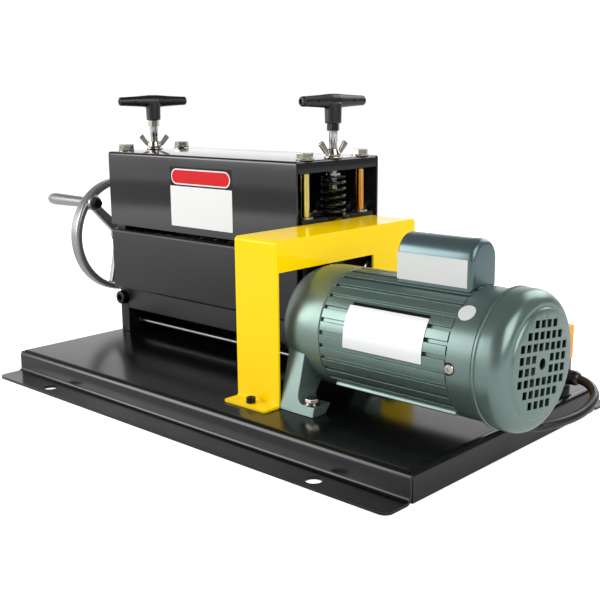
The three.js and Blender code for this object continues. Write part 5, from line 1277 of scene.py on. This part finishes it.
def addFanCover():
    c = fanCover
    start, face, radius, wall, bend = c["start"], c["face"], c["radius"], c["wall"], c["shoulder"]
    rise, step = c["stepRadius"], face - c["stepDepth"]
    outer = [(start + a, radius + r) for a, r in c["bead"]]
    outer += arc((step - bend, rise), (bend, radius - 0.5 - rise), 90, 0, 14)
    outer += [(step, rise - 1), (step + 0.4, rise - 1.9), (face - 0.5, c["faceRadius"] + 0.7),
              (face, c["faceRadius"] - 0.3), (face, 0)]
    inner = [(start, radius - wall), *arc((step - bend, rise), (bend - wall, radius - rise - wall), 90, 0, 14),
             (face - wall, c["faceRadius"] - wall), (face - wall, 0)]
    bm = bmesh.new()
    turned(bm, "x", motorAxis, outer + inner[::-1], 128, 0, True)
    cutter = bmesh.new()
    reach, half = (face - wall - 2, face + 2), c["vent"] / 2
    for row, count in c["rows"]:
        for i in range(count):
            column = i - (count - 1) / 2
            if abs(row) < 1 and abs(column) < 1:
                continue  # the centre hole's place
            y, z = motorAxis[1] + column * c["pitch"], motorAxis[2] + row * c["pitch"]
            cuboid(cutter, reach, (y - half, y + half), (z - half, z + half))
    bmesh.ops.rotate(cutter, cent=motorAxis, matrix=Matrix.Rotation(math.radians(c["ventTurn"]), 3, "X"),
                     verts=cutter.verts[:])
    disc(cutter, "x", motorAxis, *reach, c["centreHole"], 40)
    addPiece("fan_cover_shell", combined(bm, cutter), ["greyGreenEnamel"], "fan_cover", 0.25)


# Rotor and cooling fan, seen through the vents
fan = {
    "hub": 14, "radius": 44, "from": 338, "to": 352, "blades": 6, "thickness": 2.2,
    "rotor": [(119, 0), (119, 7), (176, 7), (176, 28), (276, 28), (276, 7), (338, 7), (338, 0)],
}


def addRotor():
    f = fan
    bm = bmesh.new()
    back, front, hub, tip, half = f["from"], f["to"], f["hub"], f["radius"], f["thickness"] / 2
    turned(bm, "x", motorAxis, f["rotor"])
    turned(bm, "x", motorAxis, [(back, 0), (back, tip), (back + 2, tip), (back + 2, hub), (front - 1, hub),
                                (front, hub - 1), (front, 0)], 64, 1)
    for i in range(f["blades"]):
        vane = cuboid(bm, (back + 1, front), (-half, half), (hub - 2, tip), 1)
        moved(bm, vane, math.tau * i / f["blades"], "X", motorAxis)
    addPiece("rotor_with_fan", bm, ["turnedSteel", "blackAbs"], "rotor_and_fan", 0.3, body="rotor")


addMotorBody()
addNameplate()
addEndShield()
addFanCover()
addRotor()
print("motor made")

# Capacitor box: D-shaped drawn case, slip-on cap, blank pale label on each side
capacitor = {
    "start": 214, "capFrom": 287, "end": 300, "half": 20.5, "top": 216, "proud": 0.4, "low": 169.2,
    "label": ((214.8, 294.5), (172.5, 198.5)), "labelLift": (0.1, 0.75),
}


# The outline pushed from start to end, with the rim at one end rounded
def capacitorShell(grow, start, end, rimX, radius, segments):
    c = capacitor
    bm = bmesh.new()
    y, half = motorAxis[1], c["half"] + grow
    outline = [(y - half, c["low"]), (y + half, c["low"])] + arc((y, c["top"] - c["half"]), (half, half), 0, 180, 24)
    pushed(bm, "x", outline, start, end)
    rim = [e for e in bm.edges if all(abs(v.co.x - rimX) < 0.01 for v in e.verts)]
    bmesh.ops.bevel(bm, geom=rim, offset=radius, segments=segments, profile=0.5, affect="EDGES", material=-1)
    return bm


def addCapacitor():
    c = capacitor
    box = capacitorShell(0, c["start"], c["capFrom"] - 0.3, c["start"], 2.5, 5)
    addPiece("capacitor_case", box, ["slateEnamel"], "capacitor_box", 0.15)
    cap = capacitorShell(c["proud"], c["capFrom"], c["end"], c["end"], 5.4, 7)
    addPiece("capacitor_cap_drawn", cap, ["slateEnamel"], "capacitor_cap", 0.15)
    label = bmesh.new()
    for way in (-1, 1):
        sides = sorted(motorAxis[1] + way * (c["half"] + lift) for lift in c["labelLift"])
        cuboid(label, c["label"][0], sides, c["label"][1])
    addPiece("capacitor_label_blank", label, ["paleGreyVinyl"], edge=0.1)


addCapacitor()

# Switch box: grey base, yellow cover, green and red push buttons in raised collars
switchBox = {
    "x": (220, 290), "y": (113, 155), "split": 61, "top": 97.6, "inset": 0.9, "corner": 5, "seat": 29.8,
    "buttons": {"start": (238, "greenAbs"), "stop": (272, "redAbs")}, "buttonY": 134, "button": 9, "buttonLow": 84.9,
    "well": 9.4, "wellLow": 81, "collar": 2.2, "collarRadius": 12, "proud": 4,
    "crown": ((-1.6, 0), (-0.5, -0.4), (0, -1.4), (-0.5, -2.4)), "dish": 0.7,
}


def addSwitch():
    s = switchBox
    inset, well, split, top = s["inset"], s["well"], s["split"], s["top"]
    base, cover, wells = bmesh.new(), bmesh.new(), bmesh.new()
    lower = [(low + inset, high - inset) for low, high in (s["x"], s["y"])]
    pushed(base, "z", roundedOutline(*lower, s["corner"]), s["seat"], split - 0.3)
    addPiece("switch_base_moulding", base, ["greyAbs"], "switch_base", 0.8, 3)
    pushed(cover, "z", roundedOutline(s["x"], s["y"], s["corner"]), split, top)
    places = [(x, s["buttonY"], 0) for x, finish in s["buttons"].values()]
    for at in places:
        disc(wells, "z", at, s["wellLow"], top + 7.4, well)
    cover = combined(cover, wells)
    for at in places:
        ring(cover, "z", at, top - 1, top + s["collar"], well, s["collarRadius"])
    addPiece("switch_cover_moulding", cover, ["yellowAbs"], "switch_cover", 1.1, 3)
    crown, wide = top + s["collar"] + s["proud"], s["button"]
    for at, (body, (x, finish)) in zip(places, s["buttons"].items()):
        bm = bmesh.new()
        rim = [(crown + a, wide + r) for a, r in s["crown"]]
        turned(bm, "z", at, [(s["buttonLow"], 0), (s["buttonLow"], wide), *rim, (crown - s["dish"], 0)])
        addPiece(f"{body}_button_cap", bm, [finish], f"{body}_button", 0.1, body=body)


# Cable glands: hexagon, domed clamping nut with fine ribs
gland = {
    "flats": 16, "nut": 5, "radius": 8.1, "length": 9, "longer": 16, "nose": 5.8, "mouth": 4.95, "mouthDepth": 1.5,
    "ribs": 24, "rib": (0.6, 4.4, 0.28),
    "onSwitch": (287.8, 133, 44.8), "onMotorX": 315, "onMotorAngle": -150,
}


def glandShape(length):
    g = gland
    bm = bmesh.new()
    hexHead(bm, "x", (0, 0, 0), g["flats"], 0, g["nut"])
    start, end, radius, nose, mouth = g["nut"] - 0.4, g["nut"] + length, g["radius"], g["nose"], g["mouth"]
    turned(bm, "x", (0, 0, 0), [
        (start, 0), (start, radius), (end - 4, radius), (end - 1.6, nose + 1), (end - 0.4, nose), (end, nose - 0.4),
        (end, mouth), (end - g["mouthDepth"], mouth), (end - g["mouthDepth"], 0)])
    ribFrom, ribTo, half = g["rib"]
    for i in range(g["ribs"]):
        rib = cuboid(bm, (start + ribFrom, start + ribTo), (-half, half), (radius - 0.5, radius + half))
        moved(bm, rib, math.tau * i / g["ribs"], "X")
    return bm


def addGlands():
    g = gland
    bm = glandShape(g["longer"])
    bmesh.ops.translate(bm, vec=g["onSwitch"], verts=bm.verts[:])
    addPiece("switch_gland_nut", bm, ["blackNylon"], "switch_gland", 0.2)
    bm = glandShape(g["length"])
    moved(bm, bm.verts[:], math.radians(-90), "Y", (0, 0, shield["radius"] + 0.3))
    moved(bm, bm.verts[:], math.radians(g["onMotorAngle"]), "X", (g["onMotorX"], *motorAxis[1:]))
    addPiece("motor_gland_nut", bm, ["blackNylon"], "motor_gland", 0.2)


addSwitch()
addGlands()

# Blank sign on the hood: black band with a red field, white field below, nothing printed
sign = {
    "x": (-172, -60), "low": 187, "high": 260.7, "split": 236.9, "face": -26.5,
    "fields": (  # name, inset of sides and top, inset of bottom, lift, finish, corner
        ("sign_band", 0, 0, 0.2, "blackVinyl", 0.6),
        ("sign_white", 0, None, 0.2, "whiteVinyl", 0.6),
        ("sign_outline", 2.4, 2, 0.3, "whiteVinyl", 9.6),
        ("sign_red", 4, 3.6, 0.4, "redVinyl", 8),
    ),
}


def addSign():
    s = sign
    for name, inset, above, lift, finish, corner in s["fields"]:
        z = (s["low"], s["split"]) if above is None else (s["split"] + above, s["high"] - inset)
        bm = bmesh.new()
        pushed(bm, "y", roundedOutline((s["x"][0] + inset, s["x"][1] - inset), z, corner), s["face"], s["face"] - lift)
        addPiece(name, bm, [finish], edge=0)


addSign()
print("small pieces made")

# Floor and light: in reflections the far walls are bright, the ceiling and the near side dim, as round a table with
# a white sweep behind it
studio = {
    "floorHalf": 6, "floorTone": "#f2f2f2", "floorGlow": 0.58, "world": 0.56, "wall": 1.25, "wallTop": (0.28, 0.62),
    "ceiling": 0.16, "wallEnd": (-0.3, 0.3), "nearSide": 0.14, "aim": (0, 0, 0.12),
    "lamps": {  # place, size, power
        "key": ((-1.55, -1.7, 0.95), 1.3, 32),
        "fill": ((2.0, -0.4, 1.3), 1.5, 28),
        "back": ((0.45, 1.9, 1.45), 1.5, 24),
    },
}


def addWorld():
    s = studio
    world = bpy.data.worlds.new("studio")
    scene.world = world
    tree = emptyTree(world)
    path = addNode(tree, "LightPath")
    towards = addNode(tree, "SeparateXYZ", {}, {
        "Vector": addNode(tree, "TexCoord").outputs["Generated"]})
    walls, turn = (addNode(tree, "MapRange", {"interpolation_type": "SMOOTHSTEP"}, {
        "Value": towards.outputs[name], "From Min": span[0], "From Max": span[1], "To Min": low, "To Max": high})
        for name, span, low, high in (("Z", s["wallTop"], s["wall"], s["ceiling"]),
                                      ("X", s["wallEnd"], 1.0, s["nearSide"])))
    room = addNode(tree, "Math", {"operation": "MULTIPLY"}, {0: walls.outputs[0], 1: turn.outputs[0]})
    mirrored = addNode(tree, "MapRange", {}, {
        "Value": path.outputs["Is Glossy Ray"], "To Min": s["world"], "To Max": room.outputs[0]})
    strength = addNode(tree, "MapRange", {}, {
        "Value": path.outputs["Is Camera Ray"], "To Min": mirrored.outputs[0], "To Max": 1.0})
    light = addNode(tree, "Background", {}, {"Color": (1, 1, 1, 1), "Strength": strength.outputs[0]})
    addNode(tree, "OutputWorld", inputs={"Surface": light.outputs[0]})


def addFloor():
    bm = bmesh.new()
    bmesh.ops.create_grid(bm, x_segments=1, y_segments=1, size=studio["floorHalf"])
    bmesh.ops.translate(bm, vec=(0, 0, -0.0005), verts=bm.verts[:])
    floor = standIn("floor", bm)
    material = bpy.data.materials.new("studioFloor")
    tree = emptyTree(material)
    path = addNode(tree, "LightPath")
    glow = addNode(tree, "Math", {"operation": "MULTIPLY"}, {
        0: path.outputs["Is Camera Ray"], 1: studio["floorGlow"]})
    paper = addNode(tree, "BsdfDiffuse", {}, {"Color": linear(studio["floorTone"])})
    lift = addNode(tree, "Emission", {}, {"Color": (1, 1, 1, 1), "Strength": glow.outputs[0]})
    both = addNode(tree, "AddShader", {}, {0: paper.outputs[0], 1: lift.outputs[0]})
    addNode(tree, "OutputMaterial", inputs={"Surface": both.outputs[0]})
    floor.data.materials.append(material)


def addLamps():
    for name, (place, size, power) in studio["lamps"].items():
        data = bpy.data.lights.new(name, "AREA")
        data.shape = "SQUARE"
        data.size = size
        data.energy = power
        lamp = bpy.data.objects.new(name, data)
        lamp.location = place
        lamp.rotation_mode = "QUATERNION"
        lamp.rotation_quaternion = (Vector(studio["aim"]) - Vector(place)).to_track_quat("-Z", "Y")
        scene.collection.objects.link(lamp)


addWorld()
addFloor()
addLamps()
scene.view_settings.view_transform = "Standard"
bpy.context.view_layer.update()
print("scene ready")
